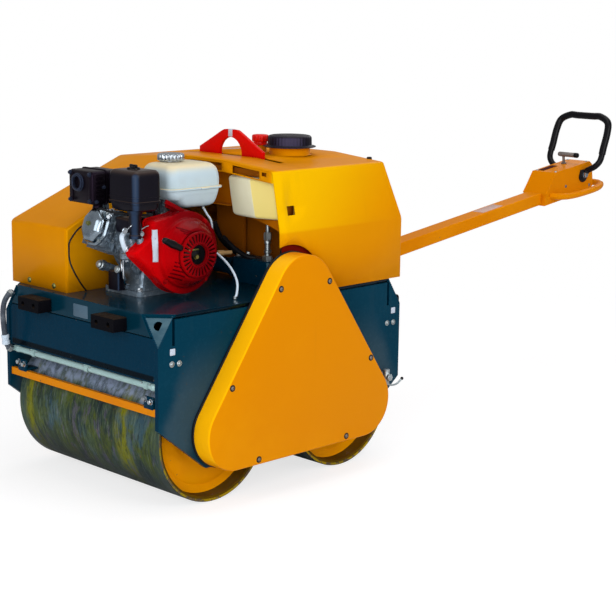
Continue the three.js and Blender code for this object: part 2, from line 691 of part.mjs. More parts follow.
function roofZ(x) {
  const a = Math.abs(x);
  if (a <= HOOD_CROWN_X) return HOOD_CROWN;
  const k = (a - HOOD_CROWN_X) / (HOOD_EDGE_X - HOOD_CROWN_X);
  return HOOD_CROWN - k * (HOOD_CROWN - HOOD_EDGE);
}
function hoodRoof() {
  const above = box(-wide, wide, NOSE_TOP_Y, HOOD_REAR + 20, roofCutZ + CLEAR / 2, ABOVE_HOOD);
  let roof = common(shell, above);
  // slotted band and the partition behind the engine hang from the roof
  const lean = (HOOD_HALF_W - HOOD_EDGE_X) / (HOOD_EDGE - HOOD_FOLD);
  const band = extrude(
    "y",
    [
      [NOSE_INNER + CLEAR, HOOD_CROWN - LIP_H],
      [HOOD_CROWN_X, HOOD_CROWN - LIP_H],
      [HOOD_EDGE_X - HOOD_T - 1 + lean * LIP_H, HOOD_EDGE - LIP_H],
      [HOOD_EDGE_X - HOOD_T - 1, HOOD_EDGE - 1],
      [HOOD_CROWN_X, HOOD_CROWN - 1],
      [NOSE_INNER + CLEAR, HOOD_CROWN - 1],
    ],
    HOOD_FRONT,
    HOOD_FRONT + HOOD_T,
  );
  const partition = box(
    NOSE_INNER + 6,
    PARTITION_X,
    PARTITION_Y,
    PARTITION_Y + HOOD_T,
    HOOD_CROWN - PARTITION_H,
    HOOD_CROWN - 1,
  );
  roof = join(roof, band, partition);
  for (const [x0, x1, high] of [
    [-31, 109, 23],
    [HOOD_EDGE_X - 168, HOOD_EDGE_X - 54, 22],
    [HOOD_EDGE_X - 45, HOOD_EDGE_X - 25, 12],
  ]) {
    const top = roofZ(x1) - 8;
    roof = cut(
      roof,
      extrude(
        "y",
        [
          [x0, roofZ(x0) - 8 - high],
          [x1, top - high],
          [x1, top],
          [x0, roofZ(x0) - 8],
        ],
        HOOD_FRONT - 2,
        HOOD_FRONT + HOOD_T + 2,
      ),
    );
  }
  const slotY = EYE_T / 2 + 6;
  roof = cut(roof, box(-EYE_SLOT, EYE_SLOT, EYE_Y - slotY, EYE_Y + slotY, roofCutZ - 20, ABOVE_HOOD));
  for (const [x, y, r] of [
    [CAP_X, CAP_Y, WATER_CAP_R - 4],
    [OIL_X, OIL_Y, OIL_CAP_R - 5],
  ]) {
    const neck = rod("z", x, y, r, HOOD_CROWN - HOOD_T + 1, HOOD_CROWN + NECK_H, 24);
    roof = join(roof, neck);
  }
  return roof;
}
add("hood_roof", hoodRoof(), "yellow");

// ---------------------------------------------------------------- lifting eye, fillers, tank
function liftingEye() {
  const y0 = EYE_Y - EYE_T / 2;
  const s = new THREE.Shape();
  s.moveTo(-EYE_HALF, HOOD_EDGE - 50);
  s.lineTo(-60, HOOD_EDGE - 50);
  s.lineTo(-60, DECK_TOP + CLEAR);
  s.lineTo(60, DECK_TOP + CLEAR);
  s.lineTo(60, HOOD_EDGE - 50);
  s.lineTo(EYE_HALF, HOOD_EDGE - 50);
  s.lineTo(EYE_HALF, HOOD_CROWN + 16);
  s.lineTo(36, EYE_TOP - 4);
  s.quadraticCurveTo(22, EYE_TOP, 12, EYE_TOP);
  s.lineTo(-12, EYE_TOP);
  s.quadraticCurveTo(-22, EYE_TOP, -36, EYE_TOP - 4);
  s.lineTo(-EYE_HALF, HOOD_CROWN + 16);
  const hole = new THREE.Path();
  hole.moveTo(-EYE_HOLE, HOOD_CROWN + 2);
  hole.lineTo(-EYE_HOLE, HOOD_CROWN - 20);
  hole.lineTo(EYE_HOLE, HOOD_CROWN - 20);
  hole.lineTo(EYE_HOLE, HOOD_CROWN + 2);
  hole.absarc(0, HOOD_CROWN + 2, EYE_HOLE, 0, Math.PI, false);
  s.holes.push(hole);
  return extrude("y", s, y0, y0 + EYE_T, { curveSegments: 12 });
}
add("lifting_eye", liftingEye(), "red");
function fillerCap(x, y, r, lip, high, flange, facets) {
  const z = HOOD_CROWN + NECK_H + CLEAR;
  const profile = [
    [0, z],
    [r + lip, z],
    [r + lip, z + flange],
    [r, z + flange + 1],
    [r, z + high - 5],
    [r - 5, z + high],
    [0, z + high],
  ];
  const points = profile.map(([a, b]) => new THREE.Vector2(a, b));
  return new THREE.LatheGeometry(points, facets).rotateX(Math.PI / 2).translate(x, y, 0);
}
add("water_cap", fillerCap(CAP_X, CAP_Y, WATER_CAP_R, 13, 36, 3, 26), "black");
add("oil_cap", fillerCap(OIL_X, OIL_Y, OIL_CAP_R, 1, 24, 4, 18), "red");

function tank() {
  // flared sides, set against the lifting plate
  const y1 = EYE_Y - EYE_T / 2 - CLEAR;
  const top = HOOD_EDGE - 26;
  const low = HOOD_EDGE - 143;
  const x1 = HOOD_EDGE_X - 4;
  return hull([
    [113, -18, top],
    [113, y1, top],
    [x1 - 106, -26, top + 2],
    [x1 - 18, 6, top - 6],
    [x1 - 18, y1, top - 6],
    [138, -20, low],
    [138, y1, low],
    [x1 - 82, -28, low],
    [x1, 6, low],
    [x1, y1, low],
  ]);
}
add("oil_tank", tank(), "cream");

// ---------------------------------------------------------------- engine
// Places on the engine are given from the crankshaft: rearwards along Y and upwards.
const alongY = (a) => CRANK_Y + a;
const upZ = (h) => CRANK_Z + h;
const tilt = rad(CYL_TILT);
// Moves geometry laid along +Y from the crankshaft onto the cylinder's axis.
function onCylinder(g) {
  return g.applyMatrix4(
    new THREE.Matrix4()
      .makeTranslation(CYL_X, CRANK_Y, CRANK_Z)
      .multiply(new THREE.Matrix4().makeRotationX(Math.PI - tilt)),
  );
}
// A tapering body with round corners: each ring is [x0, x1, y0, y1, corner radius, z].
function loft(rings, perCorner = 4) {
  const points = rings.flatMap(([x0, x1, y0, y1, r, z]) =>
    [
      [x1 - r, y1 - r],
      [x0 + r, y1 - r],
      [x0 + r, y0 + r],
      [x1 - r, y0 + r],
    ].flatMap(([cx, cy], quarter) =>
      Array.from({ length: perCorner }, (_, i) => {
        const a = (Math.PI / 2) * (quarter + i / (perCorner - 1));
        return [cx + r * Math.cos(a), cy + r * Math.sin(a), z];
      }),
    ),
  );
  return hull(points);
}
function engineBlock() {
  const z0 = DECK_TOP + CLEAR;
  const half = BASE_L / 2;
  const flange = extrude(
    "z",
    roundedRect(BASE_X0, BASE_X1, alongY(-half), alongY(half), 16),
    z0,
    z0 + BASE_T,
    { curveSegments: 3 },
  );
  const foot = loft([
    [BASE_X0 + 28, BASE_X1 - 10, alongY(-half + 12), alongY(half - 12), 14, z0 + BASE_T - 1],
    [BASE_X0 + 34, BASE_X1 - 12, alongY(-half + 22), alongY(half - 20), 14, z0 + 72],
  ]);
  const parts = [
    flange,
    foot,
    rod("x", CRANK_Y, CRANK_Z, 86, BLOCK_X0 + 8, BLOCK_X1 - 10, 36),
    rod("x", CRANK_Y, CRANK_Z, 76, BLOCK_X1 - 12, BLOCK_X1, 36),
    rod("x", CRANK_Y, CRANK_Z, 58, BLOCK_X0 - 22, BLOCK_X0 + 10, 28),
    // oil filler neck at the front, parallel to the barrel
    onCylinder(rod("y", BLOCK_X0 + 20 - CYL_X, 93, 12, 4, 100, 16)),
    onCylinder(rod("y", BLOCK_X0 + 20 - CYL_X, 93, 15, 96, 112, 6)),
    // barrel and head
    onCylinder(box(-44, 44, 60, HEAD_S - 2, -46, 46)),
    onCylinder(box(-50, 50, HEAD_S - 16, HEAD_S, -52, 52)),
    // exhaust elbow, inlet stub and the two stays under the fuel tank
    box(-14, 14, alongY(-152), alongY(-132), upZ(104), upZ(MUFFLER_LOW) - CLEAR),
    box(66, 96 - CLEAR, alongY(-154), alongY(-122), upZ(70), upZ(100)),
    box(36, 96, alongY(46), alongY(70), upZ(40), upZ(SUMP_LOW) - CLEAR),
    box(36, 96, alongY(-16), alongY(4), upZ(70), upZ(TANK_LOW) - CLEAR),
  ];
  for (let i = 0; i < FINS; i++) {
    const s = HEAD_S - 28 - i * FIN_PITCH;
    parts.push(onCylinder(box(-56, 56, s, s + FIN_T, -58, 58)));
  }
  return join(...parts);
}
add("engine_block", engineBlock(), "alloy");
function rockerCover() {
  const corner = 0.42; // share of each half width that stays straight
  const octagon = (w, h, s) =>
    [
      [-w, -h * corner],
      [-w * corner, -h],
      [w * corner, -h],
      [w, -h * corner],
      [w, h * corner],
      [w * corner, h],
      [-w * corner, h],
      [-w, h * corner],
    ].map(([a, b]) => [a, s, b]);
  const flange = hull([...octagon(44, 50, HEAD_S + CLEAR), ...octagon(44, 50, HEAD_S + 6)]);
  const dome = hull([
    ...octagon(39, 45, HEAD_S + 5),
    ...octagon(39, 45, HEAD_S + 20),
    ...octagon(30, 36, HEAD_S + 31),
    ...octagon(14, 18, HEAD_S + 35),
  ]);
  return onCylinder(join(flange, dome));
}
add("rocker_cover", rockerCover(), "chrome");
function muffler() {
  const [x0, x1] = [-83, 27];
  const outlet = { x: -38, h: 191, r: 24, bore: 17 };
  const face = alongY(-198);
  const body = extrude("y", roundedRect(x0, x1, upZ(MUFFLER_LOW), upZ(MUFFLER_TOP), 8), face, alongY(-100), {
    edge: 5,
    curveSegments: 2,
  });
  const port = rod("y", outlet.x, upZ(outlet.h), outlet.r, face - 7, face + 10, 24);
  const bore = rod("y", outlet.x, upZ(outlet.h), outlet.bore, face - 12, face + 15, 24);
  return cut(join(body, port), bore);
}
add("muffler", muffler(), "black");
function airCleaner() {
  const [x0, x1] = [68, 190];
  const [y0, y1] = [alongY(-179), alongY(-84)];
  const housing = loft([
    [x0, x1, y0, y1, 15, upZ(CLEANER_LOW)],
    [x0, x1, y0, y1, 15, upZ(CLEANER_TOP) - 7],
    [x0 + 2, x1 - 2, y0 + 2, y1 - 2, 14, upZ(CLEANER_TOP) - 2],
    [x0 + 7, x1 - 7, y0 + 7, y1 - 7, 12, upZ(CLEANER_TOP)],
  ]);
  const seam = extrude(
    "z",
    roundedRect(x0 - 1.5, x1 + 1.5, y0 - 1.5, y1 + 1.5, 16),
    upZ(CLEANER_LOW) - 4,
    upZ(CLEANER_LOW) + 3,
    { curveSegments: 4 },
  );
  const bowl = loft([
    [x0 + 4, x1 - 3, y0 + 3, y1 - 3, 14, upZ(CLEANER_LOW) - 2],
    [x0 + 10, x1 - 6, y0 + 6, y1 - 8, 14, upZ(BOWL_LOW)],
  ]);
  // intake elbow under the near corner, and its arm to the inlet stub
  const intake = rod("z", 160, alongY(-156), INTAKE_R, upZ(INTAKE_LOW), upZ(BOWL_LOW) + 4, 16);
  const arm = box(96, 158, alongY(-168), alongY(-128), upZ(62), upZ(106));
  const knob = rod("z", 128, alongY(-134), 18, upZ(CLEANER_TOP) - 1, upZ(CLEANER_TOP) + 8, 16);
  return join(housing, seam, bowl, intake, arm, knob);
}
add("air_cleaner", airCleaner(), "black");
function fuelTank() {
  const [x0, x1] = [TANK_X0, TANK_X1];
  const [y0, y1] = [alongY(TANK_FRONT), alongY(TANK_REAR)];
  const top = upZ(TANK_TOP);
  const seam = upZ(TANK_SEAM);
  const low = upZ(TANK_LOW);
  const upper = loft([
    [x0 + 3, x1 - 3, y0 + 3, y1 - 3, 24, seam - 8],
    [x0 + 1, x1 - 1, y0 + 1, y1 - 1, 25, top - 34],
    [x0 + 5, x1 - 5, y0 + 5, y1 - 7, 26, top - 16],
    [x0 + 13, x1 - 13, y0 + 13, y1 - 18, 24, top - 4],
    [x0 + 22, x1 - 22, y0 + 22, y1 - 28, 20, top],
  ]);
  const lower = loft([
    [x0, x1, y0, y1, 24, seam + 6],
    [x0 + 3, x1 - 3, y0 + 4, y1 - 4, 24, seam - 16],
    [x0 + 10, x1 - 10, y0 + 14, y1 - 9, 20, low],
  ]);
  const sump = loft([
    [x0 + 6, x1 - 14, y0 + 72, y1 - 9, 20, low + 8],
    [x0 + 14, x1 - 24, y0 + 84, y1 - 19, 16, upZ(SUMP_LOW)],
  ]);
  const rim = extrude("z", roundedRect(x0 - 5, x1 + 5, y0 - 4, y1 + 5, 26), seam - 2, seam + 2, {
    curveSegments: 5,
  });
  return join(upper, lower, sump, rim);
}
add("fuel_tank", fuelTank(), "white");
function fuelCap() {
  const z = upZ(TANK_TOP) + CLEAR;
  const [x, y] = [72, alongY(45)];
  return join(
    rod("z", x, y, FUEL_CAP_R, z + 3, z + 24, 28),
    rod("z", x, y, FUEL_CAP_R - 5, z, z + 4, 28),
  );
}
add("fuel_cap", fuelCap(), "chrome");
const FAN_X = BLOCK_X1 + CLEAR;
const FAN_FACE = FAN_X + FAN_T;
const RECOIL_FACE = FAN_FACE + RECOIL_T;
function fanCover() {
  const circle = (r, x, n = 36) =>
    Array.from({ length: n }, (_, i) => {
      const a = (2 * Math.PI * i) / n;
      return [x, alongY(r * Math.cos(a)), upZ(r * Math.sin(a))];
    });
  // corners of the two forward shoulders as [rearwards, upwards] from the crankshaft
  const duct = [
    [-DUCT_REACH, 14],
    [-DUCT_REACH + 6, 2],
    [-DUCT_REACH + 18, -8],
  ];
  const shoulder = [
    [-SHOULDER_REACH, 20],
    [-SHOULDER_REACH, SHOULDER_RISE - 8],
    [-SHOULDER_REACH + 8, SHOULDER_RISE],
  ];
  const wedge = (corners, depth, r) =>
    hull([
      ...circle(r, FAN_X),
      ...circle(r - 5, FAN_X + depth),
      ...corners.map(([a, h]) => [FAN_X, alongY(a), upZ(h)]),
      ...corners.map(([a, h]) => [FAN_X + depth, alongY(a * 0.96), upZ(h * 0.96)]),
    ]);
  const drumPart = hull([
    ...circle(FAN_R, FAN_X),
    ...circle(FAN_R, FAN_FACE - 12),
    ...circle(FAN_R - 12, FAN_FACE),
  ]);
  const recoil = rod("x", CRANK_Y, CRANK_Z, RECOIL_R, FAN_FACE - 1, RECOIL_FACE, 40, RECOIL_R2);
  // boss that the starter rope comes out of
  const guide = rod("x", alongY(-64), upZ(25), 9, FAN_FACE, RECOIL_FACE, 12);
  return join(
    drumPart,
    wedge(duct, FAN_T - 24, FAN_R - 2),
    wedge(shoulder, FAN_T - 18, FAN_R - 4),
    recoil,
    guide,
  );
}
add("fan_cover", fanCover(), "red");
function recoilRing() {
  const x0 = RECOIL_FACE + CLEAR;
  const slots = Array.from({ length: RING_SLOTS }, (_, i) =>
    box(x0 + 3, x0 + RING_T + 1, -1.8, 1.8, RING_HOLE + 6, RING_R - 6)
      .rotateX((2 * Math.PI * i) / RING_SLOTS)
      .translate(0, CRANK_Y, CRANK_Z),
  );
  return cut(
    rod("x", CRANK_Y, CRANK_Z, RING_R, x0, x0 + RING_T, 48),
    rod("x", CRANK_Y, CRANK_Z, RING_HOLE, x0 + 3, x0 + RING_T + 1, 28),
    ...slots,
  );
}
add("recoil_ring", recoilRing(), "red");
function starterGrip() {
  const x0 = RECOIL_FACE + CLEAR;
  const [l, h] = [GRIP_L / 2, GRIP_H / 2];
  const bar = extrude("x", roundedRect(-l, l, -h, h, h - 1), x0, x0 + GRIP_T, {
    edge: 4,
    curveSegments: 2,
  });
  return bar.rotateX(rad(GRIP_TURN)).translate(0, alongY(-98), upZ(40));
}
add("starter_grip", starterGrip(), "black");

// ---------------------------------------------------------------- pump and hoses
const PUMP_TOP = DECK_TOP + 74;
function pump() {
  const z0 = DECK_TOP + CLEAR;
  return join(
    loft([
      [62, 222, 42, 112, 12, z0],
      [62, 222, 42, 112, 12, PUMP_TOP - 6],
      [66, 216, 48, 106, 10, PUMP_TOP],
    ]),
    rod("x", 66, DECK_TOP + 38, 24, -30, 64, 20),
    // pressure fitting: hexagon, neck and hose end
    rod("z", 200, 62, 16, PUMP_TOP - 1, PUMP_TOP + 16, 6),
    rod("z", 200, 62, 9, PUMP_TOP + 14, PUMP_TOP + 64, 14),
    rod("z", 200, 62, 12, PUMP_TOP + 62, PUMP_TOP + 84, 6),
    rod("z", 200, 62, 6, PUMP_TOP + 82, PUMP_TOP + 108, 12),
  );
}
add("pump", pump(), "teal");
// Each hose or cable: its route, radius, sides and steps.
const hoses = [
  {
    name: "spray_hose",
    route: [
      [SPIGOT_X, FRONT - 3, 534],
      [SPIGOT_X, FRONT - 20, 526],
      [SPIGOT_X, FRONT - 34, 505],
      [SPIGOT_X, FRONT - 39, 476],
      [SPIGOT_X, FRONT - 38, 447],
      [SPIGOT_X, FRONT - 35, 417],
      [SPIGOT_X, FRONT - 31, 390],
      [SPIGOT_X, FRONT - 22, 372],
      [SPIGOT_X, FRONT - SPIGOT - 4.6, SPRAY_Z + 2],
    ],
    r: 8,
    sides: 8,
    steps: 21,
    finish: "rubber",
  },
  {
    name: "fuel_hose",
    route: [
      [132, alongY(112), upZ(SUMP_LOW) - 1.9],
      [136, alongY(124), upZ(92)],
      [139, alongY(137), upZ(72)],
      [138, alongY(140), upZ(43)],
      [132, alongY(122), upZ(17)],
      [128, alongY(89), upZ(3)],
    ],
    r: 3,
    sides: 8,
    steps: 13,
    finish: "white",
  },
  {
    name: "drain_hose",
    route: [
      [118, alongY(89), upZ(-3)],
      [132, alongY(128), upZ(-4)],
      [184, alongY(139), upZ(-30)],
      [233, alongY(135), upZ(-60)],
      [269, alongY(121), upZ(-88)],
      [290, alongY(101), upZ(-113)],
      [297, alongY(88), DECK_TOP + 2.85],
    ],
    r: 3.4,
    sides: 8,
    steps: 18,
    finish: "white",
  },
  {
    name: "throttle_cable",
    route: [
      [-30.5, alongY(-160), upZ(76)],
      [-36, alongY(-198), upZ(62)],
      [-42, alongY(-226), upZ(28)],
      [-44, alongY(-229), upZ(3)],
      [-42, alongY(-228), upZ(-29)],
      [-33, alongY(-220), upZ(-60)],
      [-50, alongY(-188), upZ(-95)],
      [-68, alongY(-154), DECK_TOP + 2.6],
    ],
    r: 2.2,
    sides: 6,
    steps: 26,
    finish: "rubber",
  },
];
for (const { name, route, r, sides, steps, finish } of hoses)
  add(name, pipe(route, r, sides, steps), finish);

// ---------------------------------------------------------------- drain valve
function drainValve() {
  const x0 = PLATE_OUT + CLEAR;
  const y = REAR - VALVE_SET;
  return join(
    rod("x", y, VALVE_Z, 15, x0, x0 + 10, 14),
    rod("z", x0 + 18, y, 11, VALVE_Z - 20, VALVE_Z + 24, 12),
    rod("x", y, VALVE_Z + 2, 9, x0 + 8, x0 + 20, 12),
    pipe(
      [
        [x0 + 18, y, VALVE_Z - 16],
        [x0 + 20, y + 20, VALVE_Z - 28],
        [x0 + 20, y + 46, VALVE_Z - 28],
        [x0 + 20, y + 68, VALVE_Z - 18],
      ],
      3,
      6,
      8,
    ),
    new THREE.SphereGeometry(7, 8, 6).translate(x0 + 20, y + 72, VALVE_Z - 16),
  );
}
add("drain_valve", drainValve(), "zinc");

// ---------------------------------------------------------------- drawbar
function drawbarBracket() {
  const y0 = REAR + CLEAR;
  const inner = BAR_W / 2 + 5.2;
  const ears = [-1, 1].map((s) => {
    const x0 = s > 0 ? inner : -inner - EAR_T;
    const shape = new THREE.Shape();
    shape.moveTo(y0 + 1, LIP_LOW + 2);
    shape.lineTo(BAR_PIVOT_Y, BAR_PIVOT_Z - 24);
    shape.absarc(BAR_PIVOT_Y, BAR_PIVOT_Z, 24, -Math.PI / 2, Math.PI / 2, false);
    shape.lineTo(y0 + 1, BAR_PIVOT_Z + 24);
    return extrude("x", shape, x0, x0 + EAR_T, { curveSegments: 7 });
  });
  const back = box(-inner - 34, inner + 34, y0, y0 + 8, LIP_LOW + 2, DECK_TOP - 12);
  const pin = rod("x", BAR_PIVOT_Y, BAR_PIVOT_Z, PIVOT_R, -inner - EAR_T - 8, inner + EAR_T + 8, 16);
  return join(back, ...ears, pin);
}
add("drawbar_bracket", drawbarBracket(), "teal");

const lift = new THREE.Group();
lift.position.set(0, BAR_PIVOT_Y, BAR_PIVOT_Z);
lift.rotation.x = rad(BAR_ANGLE);
roller.add(lift);
function drawbar() {
  const w = BAR_W / 2;
  const h = BAR_H / 2;
  const tube = box(-w, w, 20, BAR_LEN, -h, h);
  const boss = rod("x", 0, 0, h, -w, w, 24);
  const root = box(-w, w, 0, 24, -h, h);
  const bore = rod("x", 0, 0, PIVOT_R + 0.4, -w - 1, w + 1, 24);
  return cut(join(tube, boss, root), bore);
}
add("drawbar", drawbar(), "orange", lift);
const headProfile = [
  [HEAD_S0, HEAD_LOW],
  [HEAD_S0 + 12, 18],
  [HEAD_S0 + 77, HEAD_TOP],
  [HEAD_S1 - 14, HEAD_TOP],
  [HEAD_S1, HEAD_TOP - 14],
  [HEAD_S1, HEAD_LOW + 14],
  [HEAD_S1 - 26, HEAD_LOW],
];
function consoleHead() {
  const w = HEAD_W / 2;
  let head = extrude("x", headProfile, -w, w);
  const seat = box(
    -BAR_W / 2 - CLEAR,
    BAR_W / 2 + CLEAR,
    HEAD_S0 - 10,
    BAR_LEN + CLEAR,
    -BAR_H / 2 - CLEAR,
    BAR_H / 2 + CLEAR,
  );
  head = cut(head, seat);
  const bow = pipe(
    [
      [-w + 6, HEAD_S0 + 40, 8],
      [-w - 22, HEAD_S0 + 66, 0],
      [-w - 32, HEAD_S0 + 140, -10],
      [-w - 30, HEAD_S0 + 280, -15],
      [-w + 4, HEAD_S0 + 364, -18],
      [0, HEAD_S0 + 384, -19],
      [w - 4, HEAD_S0 + 364, -18],
      [w + 30, HEAD_S0 + 280, -15],
      [w + 32, HEAD_S0 + 140, -10],
      [w + 22, HEAD_S0 + 66, 0],
      [w - 6, HEAD_S0 + 40, 8],
    ],
    12.5,
    8,
    30,
  );
  return join(head, bow);
}
add("console_head", consoleHead(), "orange", lift);
function hoop() {
  const w = HEAD_W / 2;
  const lean = rad(HOOP_LEAN);
  const at = (x, v) => [x, HOOP_S + v * Math.sin(lean), HOOP_N + v * Math.cos(lean)];
  const h = HOOP_H;
  const q = HOOP_HALF;
  const leg = pipe(
    [
      at(-w - 14, -4),
      at(-w - 18, 14),
      at(-q + 16, 36),
      at(-q, 62),
      at(-q, 110),
      at(-q, h - 60),
      at(-q + 10, h - 20),
      at(-q + 48, h),
      at(-q + 80, h),
      at(q - 80, h),
      at(q - 48, h),
      at(q - 10, h - 20),
      at(q, h - 60),
      at(q, 110),
      at(q, 62),
      at(q - 16, 36),
      at(w + 18, 14),
      at(w + 14, -4),
    ],
    HOOP_R,
    8,
    34,
  );
  const parts = [leg];
  for (const s of [-1, 1]) {
    const x0 = s > 0 ? w + CLEAR : -w - CLEAR - 7;
    const plate = new THREE.Shape();
    plate.absarc(HOOP_S, HOOP_N - 4, 24, Math.PI, 2 * Math.PI, false);
    plate.lineTo(HOOP_S + 30, HOOP_N + 34);
    plate.lineTo(HOOP_S - 12, HOOP_N + 34);
    parts.push(extrude("x", plate, x0, x0 + 7, { curveSegments: 8 }));
    const b = s > 0 ? w + 5 : -w - 22;
    parts.push(rod("x", HOOP_S, HOOP_N, 12, b, b + 17, 20));
  }
  return parts;
}
const hoopParts = hoop();
// the two side brackets are joined by the pivot shaft through the head
add(
  "travel_hoop",
  join(...hoopParts),
  "rubber",
  lift,
);
function throttleHandle() {
  const z0 = HEAD_TOP + CLEAR;
  return join(
    rod("z", -15, HEAD_S0 + 220, 5, z0, z0 + 34, 14),
    rod("x", HEAD_S0 + 220, z0 + 36, 8, -39, 51, 16),
    rod("z", -15, HEAD_S0 + 220, 10, z0, z0 + 5, 6),
  );
}
add("throttle_handle", throttleHandle(), "zinc", lift);

// ---------------------------------------------------------------- origin
// Centre of the base of the whole machine, so that it follows every size above.
roller.updateMatrixWorld(true);
const bounds = new THREE.Box3().setFromObject(roller, true);
roller.position.set(
  -(bounds.min.x + bounds.max.x) / 2,
  -(bounds.min.y + bounds.max.y) / 2,
  -bounds.min.z,
);
roller.updateMatrixWorld(true);

export default roller;
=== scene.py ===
"""Dresses a packed walk-behind roller: drums, frame, hood, engine and drawbar.

Shapes are given in millimetres about the point on the ground midway between the two
drums, with +X to the machine's left, +Y rearwards and +Z up. The workshop turns them
into the row frame in metres.
"""

from __future__ import annotations

import logging
import math
from dataclasses import dataclass, field
from enum import Enum
from typing import Any, Callable, Iterable, Sequence

import bmesh
import bpy
import numpy as np
from mathutils import Matrix, Vector

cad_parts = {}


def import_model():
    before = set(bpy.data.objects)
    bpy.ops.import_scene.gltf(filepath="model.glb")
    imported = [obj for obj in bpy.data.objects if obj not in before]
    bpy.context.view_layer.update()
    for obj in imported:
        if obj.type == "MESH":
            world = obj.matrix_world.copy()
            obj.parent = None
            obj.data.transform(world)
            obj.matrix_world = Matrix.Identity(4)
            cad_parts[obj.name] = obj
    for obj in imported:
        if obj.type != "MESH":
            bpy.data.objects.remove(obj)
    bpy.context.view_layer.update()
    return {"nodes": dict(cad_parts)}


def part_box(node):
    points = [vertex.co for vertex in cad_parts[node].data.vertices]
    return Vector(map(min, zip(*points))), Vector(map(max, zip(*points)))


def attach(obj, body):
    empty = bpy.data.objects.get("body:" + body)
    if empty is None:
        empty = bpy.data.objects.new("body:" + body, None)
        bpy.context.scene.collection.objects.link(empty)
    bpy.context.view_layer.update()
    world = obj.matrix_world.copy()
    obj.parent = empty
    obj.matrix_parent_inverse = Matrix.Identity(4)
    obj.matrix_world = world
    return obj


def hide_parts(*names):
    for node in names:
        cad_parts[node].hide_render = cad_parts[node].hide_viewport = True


Array = np.ndarray
Colour = tuple[float, float, float]
Place = Sequence[float]
Profile = Sequence[tuple[float, float]]
Ripple = Callable[[Array, Array], Array]
Skip = Callable[[int, int], bool]
MM = 0.001
SAME_POINT = 2e-6
FLAT = math.radians(0.6)
SIDES = (-1, 1)
LEFT, RIGHT, FORWARD, REARWARD, UP = (1, 0, 0), (-1, 0, 0), (0, -1, 0), (0, 1, 0), (0, 0, 1)
WATER_FILLER = (100, 245, 0)
OIL_FILLER = (-5, 222, 0)
LOG = logging.getLogger("roller")


class Axis(Enum):
    """The row axis that a turned or extruded form runs along."""

    X = 0
    Y = 1
    Z = 2

    def grid(self, first: Array, second: Array, along: Array) -> Array:
        """Stacks points: along runs on this axis, first and second on the other two in order."""
        parts = [first, second]
        parts.insert(self.value, along)
        return np.stack(np.broadcast_arrays(*parts), axis=-1)


class Body(Enum):
    """The rigid bodies that a piece can ride on."""

    CHASSIS = "chassis"
    FRONT_DRUM = "front_drum"
    REAR_DRUM = "rear_drum"
    BAR = "bar"


def srgb(*display: int) -> Colour:
    """Turns red, green and blue from 0 to 255 on a display into linear light."""
    scaled = (channel / 255 for channel in display)
    return tuple(c / 12.92 if c <= 0.04045 else ((c + 0.055) / 1.055) ** 2.4 for c in scaled)


# ------------------------------------------------------------------ surfaces


@dataclass
class Surface:
    """Points in millimetres as an (n, 3) array, and the faces between them."""

    points: Array
    faces: list[tuple[int, ...]]

    def moved(self, matrix: Array, shift: Place = (0, 0, 0)) -> "Surface":
        """Puts each point p at matrix @ p + shift."""
        return Surface(self.points @ np.asarray(matrix).T + np.asarray(shift), self.faces)

    def shifted(self, shift: Place) -> "Surface":
        """Adds the shift to each point."""
        return Surface(self.points + np.asarray(shift), self.faces)

    def at(self, spot: Place, normal: Place, spin: float = 0.0) -> "Surface":
        """Stands a form made along +Z on a spot, looking along the normal."""
        return self.moved(facing(normal, spin), spot)


def joined(surfaces: Iterable[Surface]) -> Surface:
    """Collects several surfaces into one.

    Args:
        surfaces: The surfaces to collect.

    Returns:
        One surface with all their faces.
    """
    points, faces, start = [], [], 0
    for part in surfaces:
        points.append(part.points)
        faces += [tuple(i + start for i in face) for face in part.faces]
        start += len(part.points)
    return Surface(np.concatenate(points), faces)


def lattice(grid: Array, wrap: bool = False, caps: bool = False, skip: Skip | None = None) -> Surface:
    """Joins a grid of points with four-sided faces.

    Args:
        grid: Points as (rows, columns, 3).
        wrap: Joins the last column to the first.
        caps: Closes the first and last rows with one polygon each.
        skip: Tells which cells (row, column) stay open.

    Returns:
        The surface.
    """
    rows, columns = grid.shape[:2]
    cells = [(i, j) for i in range(rows - 1) for j in range(columns if wrap else columns - 1)]
    faces = []
    for i, j in cells:
        if skip is None or not skip(i, j):
            here, there, right = i * columns, (i + 1) * columns, (j + 1) % columns
            faces.append((here + j, here + right, there + right, there + j))
    if caps:
        faces.append(tuple(range(columns))[::-1])
        faces.append(tuple((rows - 1) * columns + k for k in range(columns)))
    return Surface(grid.reshape(-1, 3), faces)


def turned(
    profile: Profile, axis: Axis, centre: Place = (0, 0, 0), count: int = 64,
    ripple: Ripple | None = None
) -> Surface:
    """A surface of revolution.

    A point at angle a and profile point (r, s) lies s along the axis and r times
    (cos a, sin a) across it, from the centre.

    Args:
        profile: (radius, distance along the axis) pairs.
        axis: The axis of revolution.
        centre: A point on the axis, from which the distances run.
        count: Points round the circle.
        ripple: Optional change of radius as a function of angle and radius.

    Returns:
        The surface.
    """
    radius, along = np.array(profile, float).T
    angle = np.linspace(0, 2 * np.pi, count, endpoint=False)
    r = np.repeat(radius[:, None], count, axis=1)
    if ripple is not None:
        r = r + ripple(angle[None, :], r)
    grid = axis.grid(r * np.cos(angle), r * np.sin(angle), along[:, None])
    return lattice(grid + np.asarray(centre, float), wrap=True)


